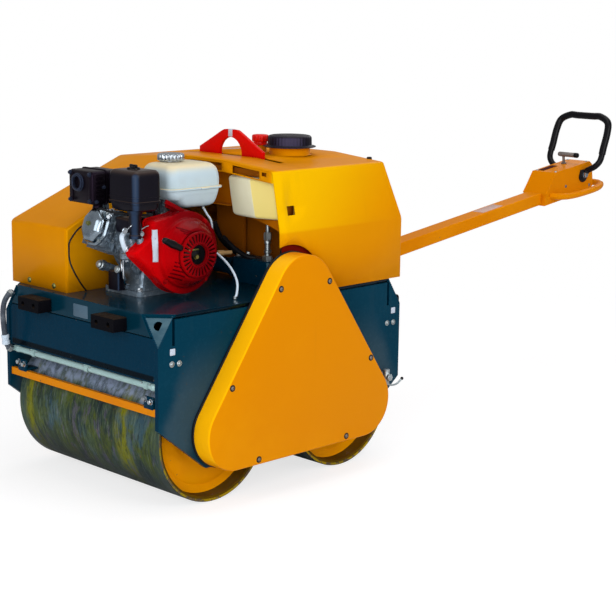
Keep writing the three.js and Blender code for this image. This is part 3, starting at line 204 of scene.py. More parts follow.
def smooth_path(points: Sequence[Place], count: int) -> Array:
    """Samples a Catmull-Rom curve through the given points, evenly by length.

    Each span is the cubic whose tangent at a point is half the chord between its
    neighbours.

    Args:
        points: The points to pass through.
        count: How many samples to return.

    Returns:
        A (count, dimensions) array.
    """
    p = np.asarray(points, float)
    p = np.vstack([2 * p[0] - p[1], p, 2 * p[-1] - p[-2]])
    t = np.linspace(0, 1, 24, endpoint=False)[:, None, None]
    a, b, c, d = p[:-3], p[1:-2], p[2:-1], p[3:]
    span = 0.5 * (
        2 * b + (c - a) * t + (2 * a - 5 * b + 4 * c - d) * t**2 + (3 * b - a - 3 * c + d) * t**3
    )
    curve = np.vstack([span.transpose(1, 0, 2).reshape(-1, p.shape[1]), p[-2]])
    length = np.concatenate([[0], np.cumsum(np.linalg.norm(np.diff(curve, axis=0), axis=1))])
    want = np.linspace(0, length[-1], count)
    return np.stack([np.interp(want, length, column) for column in curve.T], axis=1)


def swept(path: Array, section: Array, scale: Array | None = None) -> Surface:
    """Carries a section along a path without twisting it, and closes both ends.

    The section's (u, v) run along two directions square to the path. Each frame is the
    one before it turned by the least rotation that lines it up with the new tangent.

    Args:
        path: (n, 3) points.
        section: (m, 2) outline, anticlockwise.
        scale: Optional size factor at each path point.

    Returns:
        The surface.
    """
    tangent = np.gradient(path, axis=0)
    tangent /= np.linalg.norm(tangent, axis=1)[:, None]
    u = np.cross(tangent[0], np.eye(3)[np.argmin(np.abs(tangent[0]))])
    u /= np.linalg.norm(u)
    frames = []
    for step in tangent:
        u = u - step * (u @ step)
        u /= np.linalg.norm(u)
        frames.append((u, np.cross(step, u)))
    along_u, along_v = np.array(frames).transpose(1, 0, 2)
    size = np.ones(len(path)) if scale is None else np.asarray(scale)
    grid = path[:, None, :] + size[:, None, None] * (
        section[None, :, :1] * along_u[:, None, :] + section[None, :, 1:] * along_v[:, None, :]
    )
    return lattice(grid, wrap=True, caps=True)


def circle(radius: float, count: int = 16) -> Array:
    """A circle's outline as (count, 2) points."""
    angle = np.linspace(0, 2 * np.pi, count, endpoint=False)
    return radius * np.stack([np.cos(angle), np.sin(angle)], axis=1)


def arc(centre: Place, radius: float, start: float, end: float, count: int) -> Array:
    """Points on an arc between two angles in radians, as (count, 2)."""
    angle = np.linspace(start, end, count)
    return np.asarray(centre, float) + radius * np.stack([np.cos(angle), np.sin(angle)], axis=1)


def rounded_rectangle(width: float, height: float, radius: float, count: int = 6) -> Array:
    """A rectangle about the origin with quarter-circle corners.

    Args:
        width: Size along the first direction.
        height: Size along the second direction.
        radius: Corner radius.
        count: Points on each corner.

    Returns:
        The outline, anticlockwise.
    """
    corner = np.linspace(0, np.pi / 2, count)
    points = []
    for k, (sx, sy) in enumerate([(1, 1), (-1, 1), (-1, -1), (1, -1)]):
        angle = corner + k * np.pi / 2
        centre = np.array([sx * (width / 2 - radius), sy * (height / 2 - radius)])
        points.append(centre + radius * np.stack([np.cos(angle), np.sin(angle)], axis=1))
    return np.concatenate(points)


def inset(outline: Array, distance: float) -> Array:
    """Moves each edge of an anticlockwise outline inwards.

    Args:
        outline: (n, 2) points.
        distance: How far.

    Returns:
        The new outline.
    """
    edges = (outline - np.roll(outline, 1, 0), np.roll(outline, -1, 0) - outline)
    unit = [d / np.maximum(np.linalg.norm(d, axis=1), 1e-9)[:, None] for d in edges]
    normals = [np.stack([-d[:, 1], d[:, 0]], axis=1) for d in unit]
    middle = normals[0] + normals[1]
    share = np.maximum((middle * normals[1]).sum(1), 0.4)
    return outline + distance * middle / share[:, None]


def lofted(outlines: Sequence[Array], heights: Place, axis: Axis, centre: Place = (0, 0, 0)) -> Surface:
    """Joins outlines of equal length, each at its own height along the axis, and closes both ends.

    Args:
        outlines: (n, 2) outlines in the two directions across the axis.
        heights: Distance along the axis of each one.
        axis: The axis.
        centre: Added to every point.

    Returns:
        The closed surface.
    """
    flat = np.stack(outlines)
    grid = axis.grid(flat[..., 0], flat[..., 1], np.asarray(heights, float)[:, None])
    return lattice(grid + np.asarray(centre, float), wrap=True, caps=True)


def pressed(outline: Array, steps: Profile, axis: Axis, centre: Place = (0, 0, 0)) -> Surface:
    """Builds a form whose outline moves inwards as it rises, as a pressing's does.

    Args:
        outline: (n, 2) outline, anticlockwise, in the two directions across the axis.
        steps: (inset, distance along the axis) pairs, one for each row.
        axis: The axis along which the form rises.
        centre: Added to every point.

    Returns:
        The closed surface.
    """
    return lofted(
        [inset(outline, step) for step, _ in steps], [along for _, along in steps], axis, centre
    )


def rounded_steps(low: float, high: float, radius: float, count: int = 4, both: bool = True) -> list:
    """Steps for pressed() with quarter-round edges.

    Args:
        low: Start along the axis.
        high: End along the axis.
        radius: Edge radius.
        count: Points on each round.
        both: Rounds the low edge as well as the high one.

    Returns:
        (inset, along) pairs.
    """
    angle = np.linspace(0, np.pi / 2, count)
    top = [(radius * (1 - math.cos(a)), high - radius * (1 - math.sin(a))) for a in angle]
    if not both:
        return [(0.0, low)] + top
    return [(radius * (1 - math.cos(a)), low + radius * (1 - math.sin(a))) for a in angle[::-1]] + top


def slab(low: Place, high: Place, radius: float = 1.5) -> Surface:
    """A block between two corners with rounded edges.

    Args:
        low: The lowest corner.
        high: The highest corner.
        radius: Edge radius, at most 0.45 of the block's thickness.

    Returns:
        The closed surface.
    """
    low, high = np.asarray(low, float), np.asarray(high, float)
    size, middle = high - low, (high + low) / 2
    outline = rounded_rectangle(size[0], size[1], min(radius, size[:2].min() * 0.45), 4)
    steps = rounded_steps(low[2], high[2], min(radius, size[2] * 0.45), 3)
    return pressed(outline, steps, Axis.Z, (middle[0], middle[1], 0))


def softened_corners(corners: Array, radius: float, count: int = 6) -> Array:
    """Replaces each corner of an outline by points on a smooth curve.

    A corner's points run from radius before it to radius after it, on the quadratic curve
    that the corner itself pulls.

    Args:
        corners: (n, 2) corners.
        radius: Distance from each corner at which its curve starts.
        count: Points on each curve.

    Returns:
        The (n * count, 2) outline.
    """
    before, after = (np.roll(corners, k, 0) - corners for k in (1, -1))
    start, end = (
        (corners + radius * (d / np.linalg.norm(d, axis=1)[:, None]))[:, None] for d in (before, after)
    )
    t = np.linspace(0, 1, count)[None, :, None]
    curve = (1 - t) ** 2 * start + 2 * t * (1 - t) * corners[:, None] + t**2 * end
    return curve.reshape(-1, 2)


def moulded(rings: Sequence[Place], axis: Axis = Axis.Z, rows: int = 0, count: int = 7) -> Surface:
    """A moulded body whose sections are rectangles with round corners.

    Args:
        rings: Sections as (low u, high u, low v, high v, corner radius, distance along the axis).
        axis: The axis.
        rows: Rows to resample the rings to along a smooth curve, or 0 to keep them as they are.
        count: Points on each corner.

    Returns:
        The closed surface.
    """
    table = smooth_path(rings, rows) if rows else np.asarray(rings, float)
    outlines = [
        rounded_rectangle(u1 - u0, v1 - v0, r, count) + np.array([(u0 + u1) / 2, (v0 + v1) / 2])
        for u0, u1, v0, v1, r, _ in table
    ]
    return lofted(outlines, table[:, 5], axis)


def fitted(box: Place, rings: Sequence[Place]) -> list[Place]:
    """Sections for moulded() that are given by how far they stand inside a box.

    Args:
        box: (low u, high u, low v, high v).
        rings: (inset at low u, high u, low v and high v, corner radius, distance along the axis).

    Returns:
        The sections.
    """
    u0, u1, v0, v1 = box
    return [(u0 + a, u1 - b, v0 + c, v1 - d, r, z) for a, b, c, d, r, z in rings]


def tube(
    points: Sequence[Place], radius: float, count: int = 60, sides: int = 12, rings: float = 0.0
) -> Surface:
    """A round tube along a smooth curve, with optional corrugation.

    Args:
        points: The points to pass through.
        radius: The tube's radius.
        count: Sections along it.
        sides: Points round it.
        rings: Share of the radius by which every second section is smaller.

    Returns:
        The closed surface.
    """
    return swept(smooth_path(points, count), circle(radius, sides), 1 - rings * (np.arange(count) % 2))


def coil(start: Place, end: Place, radius: float, wire: float, turns: float) -> Surface:
    """A helical spring: wire carried round the line that joins two points.

    Args:
        start: One end of the line.
        end: The other end.
        radius: The spring's radius.
        wire: The wire's radius.
        turns: How many turns it takes.

    Returns:
        The closed surface.
    """
    start, end = np.asarray(start, float), np.asarray(end, float)
    share = np.linspace(0, 1, int(turns * 14))[:, None]
    basis = facing(end - start)
    angle = 2 * np.pi * turns * share
    line = start + (end - start) * share
    path = line + radius * (np.cos(angle) * basis[:, 0] + np.sin(angle) * basis[:, 1])
    return swept(path, circle(wire, 6))


def bead(line: Array, radius: float, ripple: float, pitch: float) -> Surface:
    """A weld bead: a round tube whose radius is radius * (1 + ripple * sin(pitch * k)) at point k.

    Args:
        line: (n, 3) points.
        radius: The bead's mean radius.
        ripple: How far the radius swings, as a share of it.
        pitch: Radians of the swing from one point to the next.

    Returns:
        The closed surface.
    """
    return swept(line, circle(radius, 8), 1 + ripple * np.sin(np.arange(len(line)) * pitch))


def hexagon_bolt(across: float = 13, height: float = 6, washer: float = 0.0) -> Surface:
    """A bolt head along +Z with its foot at the origin: washer, six sides and a domed top.

    The sides are the lines of a hexagon, with every second point at its corner.

    Args:
        across: Size across the flats.
        height: The head's height.
        washer: Radius of the washer below it, or 0 for none.

    Returns:
        The surface.
    """
    radius, lift = across / 1.732, 1.6 if washer else 0
    angle = np.arange(12) * np.pi / 6
    ring = np.where(np.arange(12) % 2 == 0, radius, radius * 0.866)
    rows = np.array([(1.0, 0.0), (1.0, height * 0.8), (0.86, height), (0.0, height)])
    share, level = rows.T[:, :, None]
    grid = Axis.Z.grid(share * ring * np.cos(angle), share * ring * np.sin(angle), level + lift)
    parts = [lattice(grid, wrap=True)]
    if washer:
        parts.append(turned([(0, 0), (washer, 0), (washer, lift), (0, lift)], Axis.Z, count=18))
    return joined(parts)


def button_screw(radius: float, height: float) -> Surface:
    """A domed screw head along +Z with a socket sunk in its crown.

    Args:
        radius: The head's radius.
        height: Its height.

    Returns:
        The surface.
    """
    a = np.linspace(0.1, 1.25, 5)
    dome = [(radius * math.cos(v), height * math.sin(v) / math.sin(1.25)) for v in a]
    socket = [(radius * 0.3, height * 0.95), (radius * 0.28, height * 0.3), (0, height * 0.3)]
    return turned([(radius, 0), *dome, *socket], Axis.Z, count=16)


def facing(normal: Place, spin: float = 0.0) -> Array:
    """The rotation that takes +Z to the given direction, after a turn of spin about it."""
    turn = Vector(normal).normalized().to_track_quat("Z", "Y").to_matrix()
    return np.array(turn @ Matrix.Rotation(spin, 3, "Z"))


def leaned(angle: float) -> Array:
    """The rotation about +X by an angle in radians."""
    c, s = math.cos(angle), math.sin(angle)
    return np.array([[1, 0, 0], [0, c, -s], [0, s, c]])


def placed(shape: Surface, spots: Iterable[Place], normal: Place) -> Surface:
    """Repeats a shape made along +Z at each spot, facing the normal, each turned a little."""
    return joined(shape.at(spot, normal, 0.7 * k) for k, spot in enumerate(spots))


def ring_of(centre: Place, radius: float, start: float) -> list[Place]:
    """Six spots on a circle across X, from the start angle in radians."""
    x, y, z = centre
    angles = np.arange(6) * np.pi / 3 + start
    return [(x, y + radius * math.cos(a), z + radius * math.sin(a)) for a in angles]


# ------------------------------------------------------------------ shader values


@dataclass(frozen=True)
class Value:
    """A number in a shader, so that its maths reads as an expression."""

    tree: bpy.types.NodeTree
    socket: bpy.types.NodeSocket

    def math(self, operation: str, *others: "Value | float", flip: bool = False) -> "Value":
        """Adds one Math node on this value and the others.

        Args:
            operation: The Math node's operation.
            *others: Further values or numbers.
            flip: Puts this value last instead of first.

        Returns:
            The result.
        """
        node = self.tree.nodes.new("ShaderNodeMath")
        node.operation = operation
        terms: list[Value | float] = [*others, self] if flip else [self, *others]
        for target, term in zip(node.inputs, terms):
            if isinstance(term, Value):
                self.tree.links.new(term.socket, target)
            else:
                target.default_value = float(term)
        return Value(self.tree, node.outputs[0])

    def __add__(self, other: "Value | float") -> "Value":
        """Sum."""
        return self.math("ADD", other)

    __radd__ = __add__

    def __sub__(self, other: "Value | float") -> "Value":
        """Difference."""
        return self.math("SUBTRACT", other)

    def __rsub__(self, other: float) -> "Value":
        """Difference with this value last."""
        return self.math("SUBTRACT", other, flip=True)

    def __mul__(self, other: "Value | float") -> "Value":
        """Product."""
        return self.math("MULTIPLY", other)

    __rmul__ = __mul__

    def larger(self, other: "Value | float") -> "Value":
        """The larger of the two."""
        return self.math("MAXIMUM", other)

    def size(self) -> "Value":
        """The distance from zero."""
        return self.math("ABSOLUTE")


class Shader:
    """Builds one material out of nodes."""

    def __init__(self, name: str, origin: Place) -> None:
        """Starts an empty material.

        Args:
            name: The material's name.
            origin: The layout's own origin, from which its patterns are placed, in metres.
        """
        self.material = bpy.data.materials.new(name)
        self.material.use_nodes = True
        self.tree = self.material.node_tree
        self.tree.nodes.clear()
        place = self.node("ShaderNodeTexCoord").outputs["Object"]
        self.place = self.vector("SUBTRACT", place, origin).outputs[0]

    def node(
        self, kind: str, settings: dict[str, Any] | None = None, inputs: dict[Any, Any] | None = None
    ) -> Any:
        """Adds a node.

        Args:
            kind: Blender's type name.
            settings: Properties to set first; "stops" sets a ramp's (position, colour) pairs.
            inputs: Values or links for its sockets, by name or number.

        Returns:
            The node.
        """
        made = self.tree.nodes.new(kind)
        for key, value in (settings or {}).items():
            if key == "stops":
                ramp = made.color_ramp
                while len(ramp.elements) < len(value):
                    ramp.elements.new(0.5)
                for element, (position, colour) in zip(ramp.elements, value):
                    element.position = position
                    element.color = (*colour, 1)
            else:
                setattr(made, key, value)
        for key, value in (inputs or {}).items():
            target = made.inputs[key]
            if isinstance(value, Value):
                value = value.socket
            if isinstance(value, bpy.types.NodeSocket):
                self.tree.links.new(value, target)
            elif isinstance(value, tuple) and len(value) == 3 and target.type == "RGBA":
                target.default_value = (*value, 1)
            else:
                target.default_value = value
        return made

    def vector(self, operation: str, *terms: Any) -> Any:
        """Adds one Vector Math node on sockets and directions."""
        inputs = [t if isinstance(t, bpy.types.NodeSocket) else tuple(map(float, t)) for t in terms]
        return self.node("ShaderNodeVectorMath", {"operation": operation}, dict(enumerate(inputs)))

    def part(self, socket: Any, which: Axis) -> Value:
        """One number out of a vector."""
        split = self.node("ShaderNodeSeparateXYZ", inputs={0: socket})
        return Value(self.tree, split.outputs[which.value])

    def axis(self, which: Axis) -> Value:
        """One coordinate of the object, in metres."""
        return self.part(self.place, which)

    def facing(self, which: Axis) -> Value:
        """How far a face looks along an axis, from -1 to 1."""
        return self.part(self.node("ShaderNodeTexCoord").outputs["Normal"], which)

    def along(self, direction: Place) -> Value:
        """Distance along a direction, in metres."""
        return Value(self.tree, self.vector("DOT_PRODUCT", self.place, direction).outputs["Value"])

    def noise(
        self, scale: float, detail: float = 3, roughness: float = 0.55,
        factors: Place = (1, 1, 1), shift: Place = (0, 0, 0), distortion: float = 0,
    ) -> Value:
        """Smooth noise on object coordinates, from 0 to 1.

        Args:
            scale: How fine it is, in cells a metre.
            detail: How many finer layers it has.
            roughness: How strong they are.
            factors: Stretch along each axis; a small factor draws the pattern out.
            shift: Moves the pattern.
            distortion: How far it is swirled.

        Returns:
            The noise.
        """
        place = self.node(
            "ShaderNodeMapping",
            inputs={"Vector": self.place, "Scale": tuple(factors), "Location": tuple(shift)},
        ).outputs[0]
        pattern = {"Scale": scale, "Detail": detail, "Roughness": roughness, "Distortion": distortion}
        made = self.node("ShaderNodeTexNoise", inputs={"Vector": place, **pattern})
        return Value(self.tree, made.outputs[0])

    def between(
        self, value: Value, low: float, high: float, to_low: float = 0, to_high: float = 1
    ) -> Value:
        """Eases a value from to_low at low to to_high at high."""
        inputs = {0: value, 1: low, 2: high, 3: to_low, 4: to_high}
        made = self.node("ShaderNodeMapRange", {"interpolation_type": "SMOOTHSTEP"}, inputs)
        return Value(self.tree, made.outputs[0])

    def mixed(self, share: Value, first: Any, second: Any) -> Any:
        """Colour that goes from first to second with share."""
        made = self.node("ShaderNodeMix", {"data_type": "RGBA"}, {0: share, 6: first, 7: second})
        return made.outputs[2]

    def ramp(self, value: Value, stops: Sequence[tuple[float, Colour]]) -> Any:
        """Colour read off a ramp."""
        return self.node("ShaderNodeValToRGB", {"stops": stops}, {0: value}).outputs[0]

    def bump(self, height: Value, strength: float, distance: float) -> Any:
        """A normal from a height."""
        inputs = {"Strength": strength, "Distance": distance, "Height": height}
        return self.node("ShaderNodeBump", inputs=inputs).outputs[0]

    def close(
        self, colour: Any, roughness: Value, normal: Any, shine: float, metallic: Any = 0.0,
        **others: Any
    ) -> bpy.types.Material:
        """Ends the material with a Principled surface.

        Args:
            colour: Its base colour.
            roughness: Its roughness.
            normal: Its normal.
            shine: Strength of its reflections.
            metallic: How metallic it is.
            **others: Further sockets, with underscores for the spaces in their names.

        Returns:
            The material.
        """
        inputs = {
            "Base Color": colour, "Roughness": roughness, "Metallic": metallic, "Normal": normal,
            "Specular IOR Level": shine,
        }
        inputs.update({key.replace("_", " "): value for key, value in others.items()})
        surface = self.node("ShaderNodeBsdfPrincipled", inputs=inputs)
        self.node("ShaderNodeOutputMaterial", inputs={0: surface.outputs[0]})
        return self.material


# ------------------------------------------------------------------ finishes


DUST = srgb(150, 140, 122)


@dataclass(frozen=True)
class Enamel:
    """Sprayed enamel: a gloss film with slight orange peel, faded patches, run marks and dust.

    Attributes:
        name: Material name.
        slot: The slot's name; not used.
        colour: The paint as seen in plain light.
        faded: The colour of weathered patches.
        soil: The colour of dried run marks.
        gloss: Roughness of the film.
        streaks: How strongly the run marks show.
        dust: How strongly dust shows on faces that look up.
        chips: Share of small chips down to bare metal.
        shine: Strength of its reflections.
        painted_highlight: Colour of a painted highlight, where faces are drawn lighter as if lit, or
            None.
        highlight_along: Direction across which the painted highlight comes up.
        highlight_reach: Where along that direction it starts and is full, in metres.
        highlight_outer: How far out along X a point takes it, fainter below the hood's fold (0 takes
            all).
        edge: Colour of painted light on the faces that look forwards: a painted highlight on the chain
            cover's rounded edge, painted shade on the frame's front faces; or None.
        corner: Colour of a painted highlight on the cut corner facets, or None.
        top: Colour of painted light on the faces that look up, or None.
        scuff: Colour of a lighter, greyer band low on the outer plates, or None.
        wall: Colour of painted light on the nose's wall beside the engine, drawn lighter where the
            engine shades it, or None.
        painted_side_shadow: Colour of painted shadow on the faces that look out to either side, or None.
    """

    name: str
    slot: str
    colour: Colour
    faded: Colour
    soil: Colour = srgb(96, 74, 40)
    gloss: float = 0.32
    streaks: float = 0.25
    dust: float = 0.12
    chips: float = 0.0
    shine: float = 0.16
    painted_highlight: Colour | None = None
    highlight_along: tuple[float, float, float] = (0.0, -0.5, 1.0)
    highlight_reach: tuple[float, float] = (0.5, 1.0)
    highlight_outer: float = 0.0
    edge: Colour | None = None
    corner: Colour | None = None
    top: Colour | None = None
    scuff: Colour | None = None
    wall: Colour | None = None
    painted_side_shadow: Colour | None = None

    def tint(self) -> tuple[float, float, float, float]:
        """The paint's hue at full strength, which its reflections take straight on."""
        top = max(self.colour)
        return (*(channel / top for channel in self.colour), 1.0)

    def _by_face(self, s: Shader, colour: Any) -> Any:
        """Adds the painted light and shade that go by which way a face looks, and the marks low on the
        plates.
        """
        # painted light: faces that look up take the top colour, a painted reflection on the hood and
        # lighter on the frame and bar
        if self.top is not None:
            colour = s.mixed(s.between(s.facing(Axis.Z), 0.93, 0.99), colour, self.top)
        # painted light: faces that look forwards take the edge colour
        if self.edge is not None:
            look = s.facing(Axis.Y) * -1 + s.facing(Axis.Z) * 0.25
            colour = s.mixed(s.between(look, 0.3, 0.75), colour, self.edge)
        # painted highlight: the cut corner facets are drawn lighter, in cloudy patches
        if self.corner is not None:
            look = s.facing(Axis.X).size() * 0.62 + s.facing(Axis.Y).size() * 0.655
            look = look + s.facing(Axis.Z) * 0.42
            cloud = s.between(s.noise(26, 4, 0.6), 0.3, 0.7, 0.5, 1)
            colour = s.mixed(s.between(look, 0.93, 0.97) * cloud, colour, self.corner)
        # painted shadow: faces that look out to either side are darkened, as the shaded groove under the
        # deck's edge
        if self.painted_side_shadow is not None:
            colour = s.mixed(s.between(s.facing(Axis.X).size(), 0.75, 0.9), colour, self.painted_side_shadow)
        # painted light: the nose's wall beside the engine is lifted out of the engine's shade
        if self.wall is not None:
            near = s.between((s.axis(Axis.X) + 0.084).size(), 0.004, 0.007, 1, 0)
            colour = s.mixed(near * s.between(s.facing(Axis.X), 0.7, 0.9), colour, self.wall)
        if self.scuff is not None:
            colour = self._plate_marks(s, colour)
        return colour

    def _plate_marks(self, s: Shader, colour: Any) -> Any:
        """Adds a lighter, greyer band low on the outer plates, and a painted shadow line along the end
        lips' lower edge.
        """
        # a lighter, greyer band on the outer plates' side faces, low down
        lean = s.axis(Axis.Y).size() + s.axis(Axis.Z) * 0.42 + s.noise(14, 4, 0.6) * 0.06
        band = s.between(lean, 0.42, 0.49) * s.between(lean, 0.56, 0.62, 1, 0)
        band = band * s.between(s.facing(Axis.X).size(), 0.8, 0.95) * s.between(s.axis(Axis.Z), 0.5, 0.3)
        colour = s.mixed(band * 0.55, colour, self.scuff)
        # painted shadow: a dark line on the end plates just above the spray bars, where the gap under
        # them is in shade
        painted_gap_shadow = s.between(s.axis(Axis.Z), 0.376, 0.380) * s.between(s.axis(Axis.Z), 0.392, 0.396, 1, 0)
        painted_gap_shadow = painted_gap_shadow * s.between(s.facing(Axis.Y).size(), 0.8, 0.95)
        painted_gap_shadow = painted_gap_shadow * s.between(s.axis(Axis.X).size(), 0.325, 0.333, 1, 0)
        return s.mixed(painted_gap_shadow * 0.95, colour, srgb(3, 8, 14))

    def _highlight(self, s: Shader, colour: Any) -> Any:
        """Adds the painted highlight."""
        # painted highlight: the colour eases to a lighter one across a direction, as if lit
        share = s.between(s.along(self.highlight_along), *self.highlight_reach)
        if self.highlight_outer:
            out = s.between(s.axis(Axis.X), self.highlight_outer - 0.004, self.highlight_outer + 0.004)
            share = share * out * s.between(s.axis(Axis.Z), 0.734, 0.744, 0.4, 1)
        return s.mixed(share, colour, self.painted_highlight)

    def material(self, origin: Array) -> bpy.types.Material:
        """Builds the material."""
        s = Shader(self.name, origin)
        patches = s.between(s.noise(3.1, 4, 0.6), 0.42, 0.74)
        colour = s.mixed(patches * 0.8, self.colour, self.faded)
        if self.painted_highlight is not None:
            colour = self._highlight(s, colour)
        colour = self._by_face(s, colour)
        runs = s.noise(38, 4, 0.62, (1, 1, 0.05))
        cloud = s.between(s.noise(4.6, 3, 0.5, shift=(3, 1, 2)), 0.48, 0.78)
        soiled = s.between(runs, 0.52, 0.8) * cloud * self.streaks
        colour = s.mixed(soiled, colour, self.soil)
        speck = s.between(s.noise(190, 2, 0.7), 0.66, 0.76) * 0.25
        colour = s.mixed(speck * self.streaks, colour, self.soil)
        flat = s.between(s.facing(Axis.Z), 0.55, 1) * s.between(s.noise(17, 5, 0.7), 0.35, 0.8)
        colour = s.mixed(flat * self.dust, colour, DUST)
        rough = self.gloss + soiled * 0.35 + flat * (0.8 * self.dust) + s.noise(60, 3) * 0.06
        metal: Any = 0.0
        if self.chips:
            reach = 0.12 * self.chips
            broken = s.between(s.noise(44, 6, 0.72), 0.70 - reach, 0.715 - reach)
            colour = s.mixed(broken, colour, srgb(104, 92, 80))
            metal = broken * 0.6
        peel = s.noise(520, 2, 0.5) * 0.6 + s.noise(30, 3) * 0.8
        normal = s.bump(peel, 0.12, 0.0003)
        return s.close(colour, rough, normal, self.shine, metal, Specular_Tint=self.tint())


@dataclass(frozen=True)
class RolledSteel:
    """The drums' running face: wet rolled steel with drying mud, tar bloom and tracks.

    Everything is drawn out along the rolling direction and changes quickly across the
    width. A pale blue-white band lies level with the spray bars, the last few centimetres at
    each end are rubbed to a brighter grey, and the lowest part is darkened as painted shade.

    Attributes:
        name: Material name.
        slot: The slot's name; not used.
        edge: Where the rubbed ends start, in metres from the middle.
    """

    name: str = "drum_running_face"
    slot: str = "drum_steel"
    edge: float = 0.292

    def material(self, origin: Array) -> bpy.types.Material:
        """Builds the material."""
        s = Shader(self.name, origin)
        drawn = (1, 0.2, 0.2)
        tone = s.noise(21, 6, 0.74, (1, 0.36, 0.36), distortion=0.4)
        colour = s.ramp(
            tone,
            [
                (0.34, srgb(12, 26, 34)), (0.43, srgb(32, 50, 50)), (0.50, srgb(50, 68, 54)),
                (0.58, srgb(66, 84, 60)), (0.70, srgb(96, 112, 118)),
            ],
        )
        olive = s.between(s.noise(7, 5, 0.66, (1, 0.45, 0.45), (5, 2, 1), 0.4), 0.42, 0.60)
        olive = olive * s.between(s.noise(64, 4, 0.7, (1, 0.3, 0.3)), 0.34, 0.62, 0.2, 1)
        colour = s.mixed(olive * 0.75, colour, srgb(92, 104, 6))
        across = s.axis(Axis.X) + s.noise(30, 4, 0.7, (1, 0.3, 0.3), (2, 6, 4)) * 0.05 - 0.025
        moss = s.between((across - 0.165).size(), 0.012, 0.044, 1, 0)
        moss = moss.larger(s.between((across + 0.275).size(), 0.008, 0.030, 1, 0))
        moss = moss * s.between(s.noise(34, 5, 0.74, (1, 0.4, 0.4), (3, 3, 8)), 0.34, 0.56)
        colour = s.mixed(moss * 0.72, colour, srgb(138, 138, 2))
        slate = s.between(s.noise(13, 5, 0.68, (1, 0.5, 0.5), (9, 1, 6), 0.3), 0.52, 0.64)
        colour = s.mixed(slate * 0.6, colour, srgb(56, 90, 112))
        plum = s.between(s.noise(27, 4, 0.66, (1, 0.4, 0.4), (1, 8, 3), 0.3), 0.56, 0.66)
        colour = s.mixed(plum * 0.55, colour, srgb(92, 82, 112))
        bloom = s.between(s.noise(48, 5, 0.72, (1, 0.6, 0.6), (7, 3, 9)), 0.62, 0.72)
        colour = s.mixed(bloom * 0.6, colour, srgb(150, 96, 48))
        lines = s.between(s.noise(190, 4, 0.74, (1, 0.09, 0.09), distortion=0.2), 0.54, 0.70)
        colour = s.mixed(lines * 0.4, colour, srgb(134, 150, 132))
        dark = s.between(s.noise(140, 4, 0.74, (1, 0.16, 0.16), (4, 4, 2)), 0.50, 0.66)
        colour = s.mixed(dark * 0.62, colour, srgb(18, 28, 32))
        height = s.axis(Axis.Z)
        # a pale blue-white band high on the drum's front, level with the spray bars
        ragged = s.noise(30, 3, 0.6, (1, 0.2, 0.2)) * 0.05
        band = s.between(height + ragged, 0.305, 0.335) * s.between(height + ragged, 0.385, 0.405, 1, 0)
        band = band * s.between(s.noise(34, 4, 0.7), 0.28, 0.46, 0.3, 1)
        band = band * s.between(s.noise(56, 5, 0.74, (1, 0.5, 0.5), (2, 2, 7)), 0.38, 0.58, 0.3, 1)
        colour = s.mixed(band * 0.9, colour, srgb(160, 176, 206))
        end = s.axis(Axis.X).size() + s.noise(40, 3, 0.6, drawn) * 0.02
        rubbed = s.between(end, self.edge, self.edge + 0.02)
        colour = s.mixed(rubbed * 0.3, colour, srgb(70, 92, 100))
        # painted shade: the drum is drawn darker towards its bottom
        low = s.between(height + s.noise(16, 4, 0.6, drawn) * 0.06, 0.05, 0.20, 0.8, 0)
        colour = s.mixed(low, colour, srgb(20, 32, 42))
        rough = 0.46 + moss * 0.2 + band * -0.14 + rubbed * -0.08
        relief = tone * 0.5 + lines * 0.5 + s.noise(300, 3) * 0.4
        return s.close(colour, rough, s.bump(relief, 0.35, 0.0012), 0.14, 0.15 + rubbed * 0.25)


@dataclass(frozen=True)
class BareMetal:
    """Plated or polished metal with smudges, grain and small pits.

    Attributes:
        name: Material name.
        slot: The slot's name; not used.
        colour: The clean metal.
        roughness: Roughness of the clean metal.
        stain: The colour of smudges.
        stains: How strongly they show.
        brushed: The axis along which it was brushed, or None.
        metal: How metallic the clean surface is.
    """

    name: str
    slot: str
    colour: Colour
    roughness: float
    stain: Colour = srgb(96, 88, 74)
    stains: float = 0.35
    brushed: Axis | None = None
    metal: float = 1.0

    def material(self, origin: Array) -> bpy.types.Material:
        """Builds the material."""
        s = Shader(self.name, origin)
        smudge = s.between(s.noise(22, 5, 0.65), 0.45, 0.75)
        pits = s.between(s.noise(150, 3, 0.7), 0.6, 0.75)
        colour = s.mixed(smudge * self.stains, self.colour, self.stain)
        factors = [9.0, 9.0, 9.0]
        if self.brushed is not None:
            factors[self.brushed.value] = 0.3
        grain = s.noise(60, 3, 0.6, factors)
        rough = self.roughness + smudge * 0.22 + grain * 0.08
        relief = s.bump(grain * 0.4 + pits * -0.5, 0.15, 0.0005)
        return s.close(colour, rough, relief, 0.3, self.metal - smudge * 0.25)


@dataclass(frozen=True)
class CastAlloy:
    """Sand-cast alloy sprayed silver: pebbled, with a dark film of oily soil and painted shade low down,
    and painted glints.

    Attributes:
        name: Material name.
        slot: The slot's name; not used.
        colour: The sprayed metal.
        oil_and_shade: The colour of the dark film: oily soil and painted shade.
        low: Height at which the film is lightest, in metres.
        high: Height at which it is heaviest.
    """

    name: str = "cast_alloy"
    slot: str = "alloy"
    colour: Colour = srgb(134, 152, 168)
    oil_and_shade: Colour = srgb(20, 26, 36)
    low: float = 0.58
    high: float = 0.86

    def material(self, origin: Array) -> bpy.types.Material:
        """Builds the material."""
        s = Shader(self.name, origin)
        grit = s.noise(240, 3, 0.65)
        # a dark film of oily soil and painted shade between the painted glints
        film = s.between(s.noise(46, 5, 0.74), 0.37, 0.53)
        soiled = film * s.between(s.axis(Axis.Z), self.low, self.high, 0.45, 0.95)
        colour = s.mixed(soiled, self.colour, self.oil_and_shade)
        # painted highlights: light blue-grey patches stand in for glints on the cast fins
        colour = s.mixed(s.between(s.noise(70, 4), 0.56, 0.7) * 0.6, colour, srgb(200, 214, 224))
        rough = 0.3 + soiled * 0.2 + grit * 0.1
        return s.close(colour, rough, s.bump(grit, 0.3, 0.0009), 0.3, 0.6 - soiled * 0.4)


